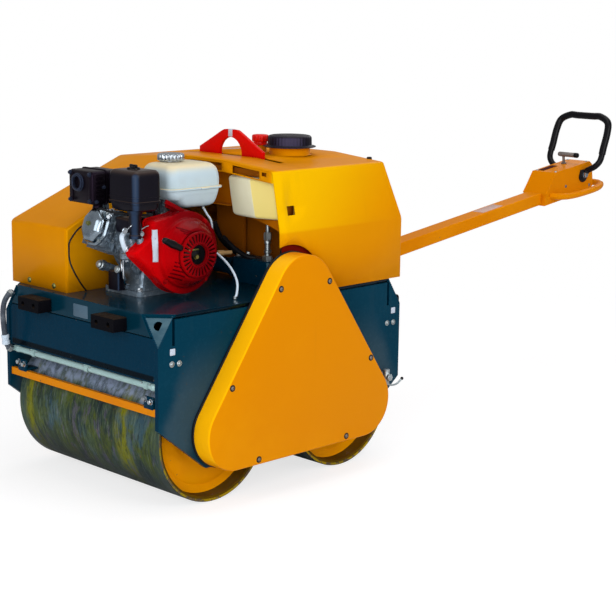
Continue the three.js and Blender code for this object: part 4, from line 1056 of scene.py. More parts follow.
@dataclass(frozen=True)
class Moulded:
    """Moulded plastic or rubber: fine texture, scuffs and a bloom of dust.

    Attributes:
        name: Material name.
        slot: The slot's name; not used.
        colour: The clean material.
        scuff: The colour of scuffs.
        roughness: Roughness of the clean material.
        texture: Depth of the moulded grain.
        scuffs: How strongly scuffs show.
        clear: How milky it is.
        crown: Colour of painted light on the faces that look up, or None.
        side: Colour of painted light on the faces that look even a little along +X, or None.
        corner: Colour of a painted highlight on the upright corners between the left and the front, or
            None.
        shine: Strength of its reflections.
    """

    name: str
    slot: str
    colour: Colour
    scuff: Colour
    roughness: float
    texture: float
    scuffs: float
    clear: float = 0.0
    crown: Colour | None = None
    side: Colour | None = None
    shine: float = 0.22
    corner: Colour | None = None

    def material(self, origin: Array) -> bpy.types.Material:
        """Builds the material."""
        s = Shader(self.name, origin)
        grain = s.noise(420, 2, 0.6)
        worn = s.between(s.noise(19, 6, 0.7), 0.5, 0.78) * self.scuffs
        colour = s.mixed(worn, self.colour, self.scuff)
        # painted light: faces that look up take the crown colour
        if self.crown is not None:
            colour = s.mixed(s.between(s.facing(Axis.Z), 0.1, 0.8), colour, self.crown)
        # painted light: faces that look along +X take the side colour
        if self.side is not None:
            colour = s.mixed(s.between(s.facing(Axis.X), 0.12, 0.3), colour, self.side)
        # painted highlight: the upright corners between the left and the front are drawn lighter
        if self.corner is not None:
            look = (s.facing(Axis.X) - s.facing(Axis.Y)) * 0.707
            colour = s.mixed(s.between(look, 0.72, 1.0), colour, self.corner)
        flat = s.between(s.facing(Axis.Z), 0.5, 1) * s.between(s.noise(33, 4, 0.7), 0.4, 0.75)
        colour = s.mixed(flat * 0.06, colour, srgb(150, 142, 128))
        rough = self.roughness + worn * 0.3 + grain * 0.08
        return s.close(
            colour, rough, s.bump(grain, self.texture, 0.0006), self.shine,
            Subsurface_Weight=self.clear, Subsurface_Radius=(0.02, 0.02, 0.02),
        )


Finish = Enamel | RolledSteel | BareMetal | CastAlloy | Moulded


class Paints:
    """All the finishes of this machine."""

    # painted highlight: the cover's forward-looking rounded edge is drawn lighter
    cover = Enamel(
        "cover_enamel", "cover_paint", srgb(222, 136, 0), srgb(228, 146, 2), gloss=0.3, streaks=0.08,
        dust=0.1, shine=0.08, edge=srgb(255, 184, 8),
    )
    # painted light on the hood: a painted highlight across its leaning sides, painted light on its tops
    # and on the nose's wall beside the engine
    hood = Enamel(
        "hood_enamel", "cover_paint", srgb(220, 138, 0), srgb(228, 148, 2), gloss=0.3, streaks=0.08,
        dust=0.02, shine=0.035, painted_highlight=srgb(240, 184, 2), highlight_along=(0.0, -1.0, 0.9),
        highlight_reach=(0.16, 0.80), highlight_outer=0.319, top=srgb(228, 144, 26), wall=srgb(255, 170, 6),
    )
    # painted shade: a darker copy of the hood paint for the partition inside the hood
    inner = Enamel(
        "inner_shaded_enamel", "cover_paint", srgb(190, 108, 4), srgb(150, 84, 8), srgb(60, 44, 24),
        0.5, 0.7, 0.3, shine=0.08,
    )
    # painted shade: a dark brown copy of the hood paint for what sits in the hood's shade
    gloom = Enamel(
        "inner_painted_shade", "cover_paint", srgb(146, 80, 10), srgb(104, 54, 10), srgb(36, 22, 12),
        0.6, 0.6, 0.2, shine=0.05,
    )
    # painted shade: a dark red for the sheet seen through the gap round the chain cover
    arch = Enamel(
        "arch_shade_sheet", "cover_paint", srgb(116, 16, 4), srgb(90, 12, 4), srgb(40, 10, 8),
        0.4, 0.4, 0.1, shine=0.06,
    )
    # painted light on the frame: painted shade on faces that look forwards, painted highlights on the
    # corner facets and on faces that look up, and a painted shadow line above the spray bars
    frame = Enamel(
        "frame_enamel", "frame_paint", srgb(4, 52, 72), srgb(12, 58, 78), srgb(56, 66, 66),
        0.24, 0.2, 0.03, 0.2, shine=0.06, edge=srgb(0, 44, 66), corner=srgb(76, 104, 116),
        top=srgb(4, 60, 80), scuff=srgb(64, 82, 92),
    )
    # painted shadow: the deck's side faces are drawn near black
    deck = Enamel(
        "deck_enamel", "frame_paint", srgb(2, 42, 58), srgb(6, 48, 64), srgb(36, 46, 50),
        0.16, 0.25, 0.02, shine=0.24, painted_side_shadow=srgb(3, 8, 16),
    )
    # painted light: the bar's tops are drawn a little lighter
    bar = Enamel(
        "drawbar_enamel", "bar_paint", srgb(224, 132, 2), srgb(230, 142, 8), gloss=0.28, streaks=0.12,
        dust=0.02, chips=0.1, shine=0.025, top=srgb(228, 136, 4),
    )
    slot_paint = Enamel(
        "slot_shadow", "bar_paint", srgb(70, 14, 10), srgb(46, 10, 10), srgb(24, 10, 10),
        0.6, 0.4, 0.1, shine=0.05,
    )
    blade = Enamel(
        "scraper_enamel", "bar_paint", srgb(228, 138, 2), srgb(214, 122, 8), srgb(96, 70, 34),
        0.4, 0.5, 0.1, 0.25, shine=0.12,
    )
    drum_end = Enamel(
        "drum_end_enamel", "bar_paint", srgb(255, 168, 0), srgb(250, 152, 4), srgb(120, 84, 20),
        0.4, 0.25, 0.1, 0.15, shine=0.1,
    )
    rim = Enamel(
        "drum_rim_enamel", "bar_paint", srgb(170, 142, 6), srgb(96, 96, 40), srgb(52, 56, 40),
        0.42, 1.0, 0.1, 1.6, shine=0.2,
    )
    # painted shade: a darker olive copy of the drum paint for the recess walls
    recess_shade = Enamel(
        "drum_recess_shade_enamel", "bar_paint", srgb(96, 70, 6), srgb(60, 50, 16), srgb(30, 30, 20),
        0.5, 1.0, 0.1, 0.6, shine=0.08,
    )
    # painted light on the fan cover: a dark red base as painted shade, with a painted highlight on its
    # lit front
    red = Enamel(
        "red_enamel", "red_paint", srgb(104, 1, 8), srgb(126, 5, 12), srgb(44, 8, 14), 0.24, 0.35, 0.02,
        shine=0.22, painted_highlight=srgb(204, 4, 8), highlight_along=(0.0, -1.0, -0.2), highlight_reach=(0.09, 0.26),
    )
    vent = Enamel(
        "vent_shadow", "red_paint", srgb(96, 0, 8), srgb(70, 0, 8), srgb(30, 4, 8),
        0.5, 0.4, 0.1, shine=0.08,
    )
    red_bolt = Enamel(
        "painted_bolts", "red_paint", srgb(150, 6, 12), srgb(120, 10, 14), srgb(60, 10, 14),
        0.34, 0.3, 0.1, 0.3,
    )
    hook = Enamel(
        "hook_enamel", "red_paint", srgb(214, 12, 6), srgb(222, 20, 10), srgb(120, 20, 14),
        0.34, 0.2, 0.1, shine=0.12,
    )
    black = Enamel(
        "black_enamel", "black_paint", srgb(12, 8, 14), srgb(24, 18, 22), srgb(64, 50, 38),
        0.3, 0.4, 0.1, shine=0.14,
    )
    outlet = Enamel(
        "outlet_enamel", "black_paint", srgb(34, 40, 56), srgb(52, 56, 66), srgb(60, 50, 44),
        0.26, 0.4, 0.1, shine=0.25,
    )
    tag = Enamel(
        "blank_plate", "zinc", srgb(70, 96, 116), srgb(92, 112, 126), srgb(50, 58, 64), 0.4, 0.4, 0.1
    )
    steel = RolledSteel()
    cast = CastAlloy()
    zinc = BareMetal("zinc_plate", "zinc", srgb(176, 186, 190), 0.34)
    pipe = BareMetal(
        "plated_pipe", "zinc", srgb(172, 204, 204), 0.36, srgb(104, 136, 130), 0.35, Axis.X, 0.3
    )
    worn = BareMetal("worn_plate", "zinc", srgb(128, 120, 116), 0.4, srgb(70, 62, 60), 0.6, None, 0.6)
    brass = BareMetal("brass", "zinc", srgb(140, 140, 84), 0.3, srgb(70, 84, 46), 0.5)
    chrome = BareMetal("bright_chrome", "chrome", srgb(188, 196, 204), 0.08, srgb(60, 64, 72), 0.5)
    polished = BareMetal("polished_cover", "chrome", srgb(146, 160, 172), 0.12, srgb(52, 58, 74), 0.6)
    rubber = Moulded(
        "black_rubber", "rubber", srgb(16, 17, 22), srgb(44, 46, 52), 0.5, 0.5, 0.35, shine=0.2
    )
    braid = Moulded(
        "braided_hose", "rubber", srgb(84, 92, 104), srgb(170, 180, 190), 0.4, 0.4, 0.9, shine=0.3
    )
    # painted reflection: the buffers' tops take a brown cast of the orange hood
    buffer = Moulded(
        "buffer_rubber", "rubber", srgb(8, 8, 14), srgb(26, 24, 24), 0.6, 0.5, 0.3,
        crown=srgb(38, 29, 23), shine=0.05,
    )
    # painted light: a brown painted reflection of the hood on the tops, and a painted blue highlight on
    # the front-left corners
    plastic = Moulded(
        "black_plastic", "black_plastic", srgb(12, 9, 20), srgb(26, 26, 38), 0.26, 0.1, 0.12,
        crown=srgb(56, 44, 40), shine=0.14, corner=srgb(36, 54, 80),
    )
    grip = Moulded(
        "grip_plastic", "black_plastic", srgb(10, 9, 14), srgb(30, 30, 38), 0.24, 0.1, 0.15, shine=0.16
    )
    # painted highlights: the cap's top and front-left corners are drawn lighter
    cap = Moulded(
        "filler_plastic", "black_plastic", srgb(20, 17, 30), srgb(50, 46, 62), 0.36, 0.1, 0.3,
        crown=srgb(34, 30, 40), shine=0.1, corner=srgb(58, 53, 80),
    )
    # painted light: the milky tank's tops are drawn a warmer cream
    white = Moulded(
        "milky_plastic", "white_plastic", srgb(192, 212, 222), srgb(178, 186, 190), 0.34, 0.1, 0.2, 0.1,
        crown=srgb(226, 212, 176),
    )
    hose = Moulded(
        "clear_hose", "white_plastic", srgb(212, 228, 244), srgb(178, 188, 200), 0.3, 0.1, 0.2
    )
    label = Moulded(
        "blank_label", "white_plastic", srgb(196, 206, 222), srgb(160, 168, 184), 0.4, 0.05, 0.3
    )
    faded_label = Moulded(
        "faded_label", "white_plastic", srgb(206, 170, 158), srgb(170, 140, 150), 0.4, 0.05, 0.8
    )
    # painted light: the oil tank's face that looks along +X is drawn yellower than its front
    cream = Moulded(
        "cream_plastic", "cream_plastic", srgb(250, 246, 214), srgb(236, 226, 180), 0.42, 0.15, 0.3, 0.1,
        side=srgb(255, 234, 140),
    )
    tan = Moulded(
        "tan_plastic", "cream_plastic", srgb(204, 164, 112), srgb(150, 120, 80), 0.4, 0.15, 0.4
    )
    red_plastic = Moulded(
        "red_plastic", "red_plastic", srgb(232, 18, 4), srgb(170, 30, 24), 0.3, 0.1, 0.2
    )


# ------------------------------------------------------------------ workshop


def linked(name: str, data: bpy.types.ID) -> bpy.types.Object:
    """Adds an object with the given data to the scene."""
    made = bpy.data.objects.new(name, data)
    bpy.context.scene.collection.objects.link(made)
    return made


def rounded(piece: bpy.types.Object, name: str, width: float, segments: int, limit: float) -> Any:
    """Adds a modifier that rounds a piece's edges.

    Args:
        piece: The piece.
        name: The modifier's name.
        width: Width of the round in millimetres.
        segments: Steps across it.
        limit: Edges steeper than this, in degrees, are rounded.

    Returns:
        The modifier.
    """
    made = piece.modifiers.new(name, "BEVEL")
    made.width = width * MM
    made.segments = segments
    made.limit_method = "ANGLE"
    made.angle_limit = math.radians(limit)
    return made


def thickened(piece: bpy.types.Object, name: str, wall: float) -> None:
    """Adds a modifier that gives an open sheet its wall in millimetres, inwards."""
    made = piece.modifiers.new(name, "SOLIDIFY")
    made.thickness = wall * MM
    made.offset = -1


@dataclass
class Workshop:
    """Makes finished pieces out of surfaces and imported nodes.

    Attributes:
        nodes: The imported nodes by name.
        origin: The row-frame place of the layout's own origin, in metres.
        made: Materials already built, by name.
    """

    nodes: dict[str, bpy.types.Object]
    origin: Array
    made: dict[str, bpy.types.Material] = field(default_factory=dict)

    def piece(
        self, name: str, surface: Surface, finish: Finish, body: Body, replaces: Sequence[str] = (),
        sharp: float = 38.0, wall: float = 0.0,
    ) -> bpy.types.Object:
        """Makes one finished piece out of a surface.

        Args:
            name: The piece's name.
            surface: Its shape in millimetres.
            finish: Its finish.
            body: What it rides on.
            replaces: Nodes that it stands for.
            sharp: Edges steeper than this, in degrees, stay sharp.
            wall: Thickness in millimetres to give an open sheet, inwards.

        Returns:
            The object.
        """
        mesh = bpy.data.meshes.new(name)
        mesh.from_pydata((surface.points * MM + self.origin).tolist(), [], surface.faces)
        work = self._merged(mesh)
        bmesh.ops.dissolve_degenerate(work, edges=work.edges, dist=SAME_POINT / 2)
        bmesh.ops.recalc_face_normals(work, faces=work.faces)
        made = self._finished(name, work, mesh, finish, body, replaces, sharp)
        if wall:
            thickened(made, "wall", wall)
        return made

    def softened(
        self, node: str, finish: Finish, body: Body, width: float, sharp: float = 32.0, segments: int = 2
    ) -> None:
        """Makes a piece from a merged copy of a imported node, with rounded edges.

        Args:
            node: The node to stand for.
            finish: The finish.
            body: What it rides on.
            width: Width of the rounded edges in millimetres.
            sharp: Edges steeper than this, in degrees, are rounded.
            segments: Steps across each rounded edge.
        """
        mesh = self.nodes[node].data.copy()
        mesh.materials.clear()
        work = self._merged(mesh)
        bmesh.ops.dissolve_limit(
            work, angle_limit=FLAT, use_dissolve_boundaries=False, verts=work.verts, edges=work.edges
        )
        made = self._finished(f"{node}_finished", work, mesh, finish, body, [node], sharp)
        rounded(made, "edges", width, segments, sharp).harden_normals = True

    def _merged(self, mesh: bpy.types.Mesh) -> bmesh.types.BMesh:
        """Opens a mesh for editing, with the points that coincide made one."""
        work = bmesh.new()
        work.from_mesh(mesh)
        bmesh.ops.remove_doubles(work, verts=work.verts, dist=SAME_POINT)
        return work

    def _finished(
        self, name: str, work: bmesh.types.BMesh, mesh: bpy.types.Mesh, finish: Finish, body: Body,
        replaces: Sequence[str], sharp: float,
    ) -> bpy.types.Object:
        """Closes an edited mesh and gives it an object, a finish and a body.

        Args:
            name: The piece's name.
            work: The edited mesh.
            mesh: Where it is put back.
            finish: Its finish.
            body: What it rides on.
            replaces: Nodes that it stands for.
            sharp: Edges steeper than this, in degrees, are shaded sharp.

        Returns:
            The object.
        """
        work.to_mesh(mesh)
        work.free()
        mesh.name = name
        mesh.polygons.foreach_set("use_smooth", np.ones(len(mesh.polygons), bool))
        mesh.set_sharp_from_angle(angle=math.radians(sharp))
        if finish.name not in self.made:
            self.made[finish.name] = finish.material(self.origin)
        mesh.materials.append(self.made[finish.name])
        made = linked(name, mesh)
        if replaces:
            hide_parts(*replaces)
        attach(made, body.value)
        LOG.info("%s: %d faces", name, len(mesh.polygons))
        return made


@dataclass
class Assembly:
    """A group of pieces that ride on one body.

    Attributes:
        shop: Where the pieces are made.
        body: What the pieces ride on.
    """

    shop: Workshop
    body: Body = field(default=Body.CHASSIS, kw_only=True)

    def own(
        self, name: str, surface: Surface, finish: Finish, *nodes: str, sharp: float = 38.0,
        wall: float = 0.0,
    ) -> bpy.types.Object:
        """Makes one piece that rides on the assembly's body and stands for the nodes."""
        return self.shop.piece(name, surface, finish, self.body, nodes, sharp, wall)

    def soften(
        self, node: str, finish: Finish, width: float, sharp: float = 32.0, segments: int = 2
    ) -> None:
        """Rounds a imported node's edges and finishes it."""
        self.shop.softened(node, finish, self.body, width, sharp, segments)


# ------------------------------------------------------------------ drums


@dataclass
class Drum(Assembly):
    """One smooth drum: shell, worn rim, recessed ends with hubs and their bolts."""

    node: str
    axle_y: float
    radius: float = 200.0
    width: float = 650.0
    rim: float = 14.0
    recess: float = 42.0
    hub: float = 62.0
    hub_out: float = 20.0
    bolt_circle: float = 44.0

    def build(self) -> None:
        """Builds the running shell, then the rims, walls, ends and bolt circles of both sides."""
        half, r, hub = self.width / 2, self.radius, self.hub
        centre, inner, disc = (0, self.axle_y, r), r - self.rim, half - self.recess
        shell = [(r - 1.6, -half), (r, -half + 1.8), (r, half - 1.8), (r - 1.6, half)]
        self.own(f"{self.node}_shell", turned(shell, Axis.X, centre, 160), Paints.steel, self.node)
        edge = [(r - 1.6, half), (r - 6.5, half), (r - 8, half - 1.6)]
        wall = [(r - 8, half - 1.6), (inner, half - 3), (inner - 0.4, disc + 7), (inner - 3, disc + 2.5)]
        plate = [
            (inner - 3, disc + 2.5), (inner - 7, disc), (inner - 26, disc - 1), (inner - 30, disc + 2),
            (hub + 44, disc + 2), (hub + 40, disc), (hub + 14, disc), (hub + 9, disc + 3),
            (hub + 2, disc + self.hub_out - 3), (hub - 1, disc + self.hub_out), (0, disc + self.hub_out),
        ]
        # the recess walls take painted shade
        rings = (
            ("rims", edge, Paints.rim), ("walls", wall, Paints.recess_shade),
            ("ends", plate, Paints.drum_end),
        )
        for name, profile, finish in rings:
            both = [turned([(a, side * b) for a, b in profile], Axis.X, centre, 160) for side in SIDES]
            self.own(f"{self.node}_{name}", joined(both), finish)
        head, bolts = hexagon_bolt(15, 7, 11), []
        for side in SIDES:
            spots = ring_of((side * (disc + self.hub_out), self.axle_y, r), self.bolt_circle, 0.2)
            bolts.append(placed(head, spots, (side, 0, 0)))
        self.own(f"{self.node}_bolts", joined(bolts), Paints.zinc)


# ------------------------------------------------------------------ chassis


@dataclass
class ChainSide(Assembly):
    """The pressed chain cover on the left side, its seal and its screws."""

    axle_y: float = 256.0
    low_z: float = 214.0
    low_r: float = 105.0
    top_z: float = 571.0
    top_r: float = 113.0
    back: float = 361.0
    face: float = 422.5
    seal: tuple[float, float] = (352.3, 360.7)
    screws: tuple[tuple[float, float], ...] = (
        (-96, 598), (96, 598), (-276, 346), (276, 346), (-176, 125), (176, 125),
    )

    def outline(self, grow: float = 0.0, count: int = 34) -> Array:
        """The rounded triangle in (Y, Z): two low arcs and a top arc joined by tangents.

        Args:
            grow: How far it stands out all round.
            count: Points on each arc.

        Returns:
            The outline, anticlockwise.
        """
        low, top = self.low_r + grow, self.top_r + grow
        rise = self.top_z - self.low_z
        along = math.hypot(self.axle_y, rise)
        face = math.atan2(self.axle_y, rise) + math.asin((top - low) / along)
        arcs = [
            ((self.axle_y, self.low_z), low, -math.pi / 2, face),
            ((0, self.top_z), top, face, math.pi - face),
            ((-self.axle_y, self.low_z), low, math.pi - face, 1.5 * math.pi),
        ]
        return np.concatenate([arc(centre, r, start, end, count) for centre, r, start, end in arcs])

    def build(self) -> None:
        """Builds the cover, the seal and the screws."""
        steps = [(1.5, self.back)] + rounded_steps(self.back + 0.5, self.face, 6.0, 6, both=False)
        cover = pressed(self.outline(), steps, Axis.X)
        self.own("chain_cover_pressing", cover, Paints.cover, "chain_cover", sharp=30)
        low, high = self.seal
        seal = pressed(self.outline(3.0), [(2.5, low), (0, low + 2), (0, high - 2), (2.5, high)], Axis.X)
        self.own("chain_cover_bead", seal, Paints.rubber, "chain_cover_seal")
        spots = [(self.face - 0.6, y, z) for y, z in self.screws]
        washer = turned([(9.5, 0), (9.5, 1.2), (8.6, 2.0), (6.0, 2.0)], Axis.Z, count=20)
        self.own("chain_cover_washers", placed(washer, spots, LEFT), Paints.rubber)
        self.own("chain_cover_screws", placed(button_screw(6.4, 4.6), spots, LEFT), Paints.worn)


@dataclass
class Chassis(Assembly):
    """Side plates, deck, end plates, buffers and their fixings."""

    plate_out: float = 352.0
    cap_r: float = 74.0
    cap_t: float = 11.0
    axle_y: float = 256.0
    drum_z: float = 200.0
    front: float = -478.0
    deck_top: float = 558.0
    corner: tuple[float, float, float] = (57.0, 54.0, 84.0)
    labels: tuple[tuple[float, float], ...] = ((-428, 458), (448, 456))
    lugs: tuple[tuple[float, float], ...] = ((-431, 425), (-405, 424), (421, 420), (449, 419))

    def plates(self) -> None:
        """Rounds the plates' edges and gives the buffers soft corners."""
        for node in ("side_plate_left", "side_plate_right", "deck", "front_plate", "rear_plate"):
            finish, width = (Paints.deck, 2.4) if node == "deck" else (Paints.frame, 1.4)
            self.soften(node, finish, width)
        for end in ("front", "rear"):
            for side in ("left", "right"):
                self.soften(f"{end}_buffer_{side}", Paints.buffer, 3.2, segments=3)

    def caps(self) -> None:
        """Bearing caps with their bolts on the plain side, and the buffers' sunk bolts."""
        x, r = -self.plate_out - self.cap_t, self.cap_r + 0.4
        profile = [
            (0, x - 0.4), (30, x - 0.4), (33, x + 1.2), (r - 8, x + 1.2), (r - 3, x + 2.4), (r, x + 6),
            (r, -self.plate_out),
        ]
        head, caps, bolts = hexagon_bolt(15, 7, 11), [], []
        for side in SIDES:
            caps.append(turned(profile, Axis.X, (0, side * self.axle_y, self.drum_z), 72))
            spots = ring_of((x + 1.2, side * self.axle_y, self.drum_z), 52, 0.3)
            bolts.append(placed(head, spots, RIGHT))
        self.own("bearing_caps", joined(caps), Paints.frame)
        self.own("bearing_cap_bolts", joined(bolts), Paints.zinc)
        spots = [(side * 172 + k * 26, -508, 521) for side in SIDES for k in SIDES]
        self.own("buffer_bolts", placed(hexagon_bolt(10, 6, 6.4), spots, FORWARD), Paints.rubber)

    def welds(self) -> None:
        """Fillet welds down both edges of the four corner facets."""
        dx, dy, dz = self.corner
        high, low = self.deck_top - 4, self.deck_top - dz
        beads = []
        for sx in SIDES:
            for sy in SIDES:
                x, y = sx * self.plate_out, sy * abs(self.front)
                ends = (
                    ((x - sx * 3, y - sy * dy, high), (x - sx, y - sy * 2, low)),
                    ((x - sx * dx, y - sy, high), (x - sx * 2, y - sy, low)),
                )
                beads += [bead(np.linspace(*pair, 60), 2.6, 0.22, 1.6) for pair in ends]
        self.own("corner_welds", joined(beads), Paints.frame)

    def blanks(self) -> None:
        """Blank labels and screws on the left plate, and the blank rating plate in front."""
        square, steps = rounded_rectangle(18, 18, 2.0, 5), [(0, 0), (0, 0.5), (0.4, 0.7)]
        labels = [pressed(square, steps, Axis.X, (self.plate_out, y, z)) for y, z in self.labels]
        self.own("blank_stickers", joined(labels), Paints.label)
        spots = [(self.plate_out, y, z) for y, z in self.lugs]
        ring = turned([(8.4, 0), (8.4, 1.6), (7.2, 2.6), (5.6, 2.6)], Axis.Z, count=24)
        heads = joined([placed(ring, spots, LEFT), placed(button_screw(5.6, 5.2), spots, LEFT)])
        self.own("plate_screws", heads, Paints.zinc)
        steps = [(0, 0), (0, -0.6), (0.6, -1.0)]
        plate = pressed(rounded_rectangle(66, 36, 3, 5), steps, Axis.Y, (15, self.front, 525))
        self.own("blank_rating_plate", plate, Paints.tag)

    def build(self) -> None:
        """Dresses the plates and adds caps, bolts, welds and labels."""
        self.plates()
        self.caps()
        self.welds()
        self.blanks()


@dataclass
class WaterGear(Assembly):
    """Spray bars, scrapers with their holders, the feed hose and the drain valve."""

    bar_y: float = 470.0
    bar_z: float = 363.0
    bar_r: float = 8.5
    bar_x: tuple[float, float] = (-321.0, 335.5)
    lugs: tuple[float, ...] = (-221.0, 35.0, 298.0)
    holder_y: float = 471.5
    holders: tuple[float, ...] = (-281.0, 306.0)
    hose_x: float = -310.0
    hose: tuple[tuple[float, float], ...] = (
        (-481, 534), (-498, 526), (-512, 505), (-517, 476), (-516, 447), (-513, 417), (-509, 390),
        (-500, 372), (-488.6, 365),
    )

    def spray(self, side: int, name: str) -> None:
        """One plated spray bar: tube, end plugs, nozzles, saddles, spigot and their bolts.

        Args:
            side: -1 in front, 1 behind.
            name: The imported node.
        """
        y, z, r = side * self.bar_y, self.bar_z, self.bar_r
        x0, x1 = self.bar_x
        profile = [
            (0, x0), (r - 1.5, x0), (r, x0 + 2), (r, x0 + 14), (r + 1.6, x0 + 15), (r + 1.6, x0 + 22),
            (r, x0 + 23), (r, x1 - 16), (r + 1.6, x1 - 15), (r + 1.6, x1 - 6), (r, x1 - 4),
            (r - 1.5, x1),
            (0, x1),
        ]
        parts = [turned(profile, Axis.X, (0, y, z), 28)]
        cup = turned(
            [(3.2, 0), (3.2, 4.5), (2.2, 5.2), (1.0, 5.2), (1.0, 3.6), (0, 3.6)], Axis.Z, count=10
        )
        spots = [(x, y - side * r * 0.55, z - r * 0.8) for x in np.linspace(x0 + 40, x1 - 40, 14)]
        parts.append(placed(cup, spots, (0, -side * 0.6, -0.8)))
        saddle = np.array([(-20, 8), (-13, 10.7), (13, 10.7), (20, 8), (26, 0), (-26, 0)], float)
        for x in self.lugs:
            parts.append(pressed(saddle, [(0, -4.2), (0, 3.4), (0.8, 4.2)], Axis.Y, (x, y, z)))
            strap = [(r + 2.2, x - 9), (r + 2.8, x - 7), (r + 2.8, x + 7), (r + 2.2, x + 9)]
            parts.append(turned(strap, Axis.X, (0, y, z), 24))
        spigot = turned(
            [(7, 0), (7, 12), (8.6, 12.5), (8.6, 16), (6.4, 16.5), (6.4, 26)], Axis.Z, count=20
        )
        parts.append(spigot.at((self.hose_x, y - side * 8, z + 2), (0, side, 0)))
        self.own(f"{name}_finished", joined(parts), Paints.pipe, name, sharp=34)
        spots = [(x + k * 17, side * (self.bar_y + 3.5), z + 4.5) for x in self.lugs for k in SIDES]
        self.own(f"{name}_screws", placed(hexagon_bolt(7, 4), spots, (0, side, 0)), Paints.zinc)

    def holder(self, side: int, name: str) -> None:
        """Teal angle holders above the scraper with their bright bolts.

        Args:
            side: -1 in front, 1 behind.
            name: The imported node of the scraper.
        """
        y, head = side * self.holder_y, hexagon_bolt(12, 8, 8.5)
        low, high = sorted((y, y - side * 40))
        parts, bolts = [], []
        for x in self.holders:
            parts.append(slab((x - 20, y - 4, 300), (x + 20, y + 4, 335), 2))
            parts.append(slab((x - 20, low, 303.4), (x + 20, high, 309.5), 2))
            for dx, dz in ((-12, 327), (13, 323)):
                bolts.append(head.at((x + dx, y + side * 4, dz), (0, side, 0)))
        self.own(f"{name}_holders", joined(parts), Paints.frame)
        self.own(f"{name}_bolts", joined(bolts), Paints.chrome)

    def feed(self) -> None:
        """The corrugated feed hose with its clips and white union."""
        x = self.hose_x
        hose = tube([(x, y, z) for y, z in self.hose], 8.4, 220, 14, 0.12)
        self.own("feed_hose", hose, Paints.braid, "spray_hose", sharp=60)
        clip = turned([(8.6, -6), (10.4, -5.4), (10.4, 5.4), (8.6, 6)], Axis.Z, count=28)
        clips = [clip.at((x, -490, 531), (0, -0.8, -0.4)), clip.at((x, -496, 368.6), (0, 0.75, -0.5))]
        self.own("feed_hose_clips", joined(clips), Paints.zinc)
        half = [(10, 4), (11.6, 5), (11.6, 14), (8.8, 15)]
        union = turned([(a, -s) for a, s in half[::-1]] + half, Axis.Z, count=24)
        self.own("feed_union", union.at((x, -510, 396), (0, -0.1, 1)), Paints.hose)

    def valve(self) -> None:
        """The drain valve: flange, body, gland nut, bent lever and knob."""
        x, y, z = 352.3, 404.0, 256.0
        flange = [(15.5, x), (15.5, x + 8), (14, x + 10), (9.5, x + 10.5), (9.5, x + 26)]
        body = [
            (0, z - 22), (8, z - 22), (9, z - 20), (9, z - 12), (12, z - 10), (12, z + 10), (10, z + 13),
            (10, z + 24), (7, z + 26), (0, z + 26),
        ]
        parts = [
            turned(flange, Axis.X, (0, y, z), 28), turned(body, Axis.Z, (x + 18, y, 0), 24),
            hexagon_bolt(20, 10).at((x + 26, y, z + 1), LEFT),
        ]
        self.own("drain_valve_finished", joined(parts), Paints.zinc, "drain_valve", sharp=34)
        route = [
            (x + 18, y, z - 18), (x + 20, y + 20, z - 28), (x + 20, y + 46, z - 28),
            (x + 20, y + 66, z - 18)
        ]
        self.own("drain_valve_lever", tube(route, 3.0, 40, 10), Paints.zinc)
        ball = [(5.04 * math.cos(a), 5.04 * math.sin(a)) for a in np.linspace(-1.5, 1.5, 9)]
        knob = turned(ball, Axis.Z, (x + 20, y + 70, z - 15), 18)
        self.own("drain_valve_knob", knob, Paints.grip)

    def build(self) -> None:
        """Builds bars, blades, holders, hose and valve."""
        for side, end in zip(SIDES, ("front", "rear")):
            self.spray(side, f"spray_bar_{end}")
            self.holder(side, f"scraper_{end}")
            self.soften(f"scraper_{end}", Paints.blade, 1.0)
        self.feed()
        self.valve()


# ------------------------------------------------------------------ hood


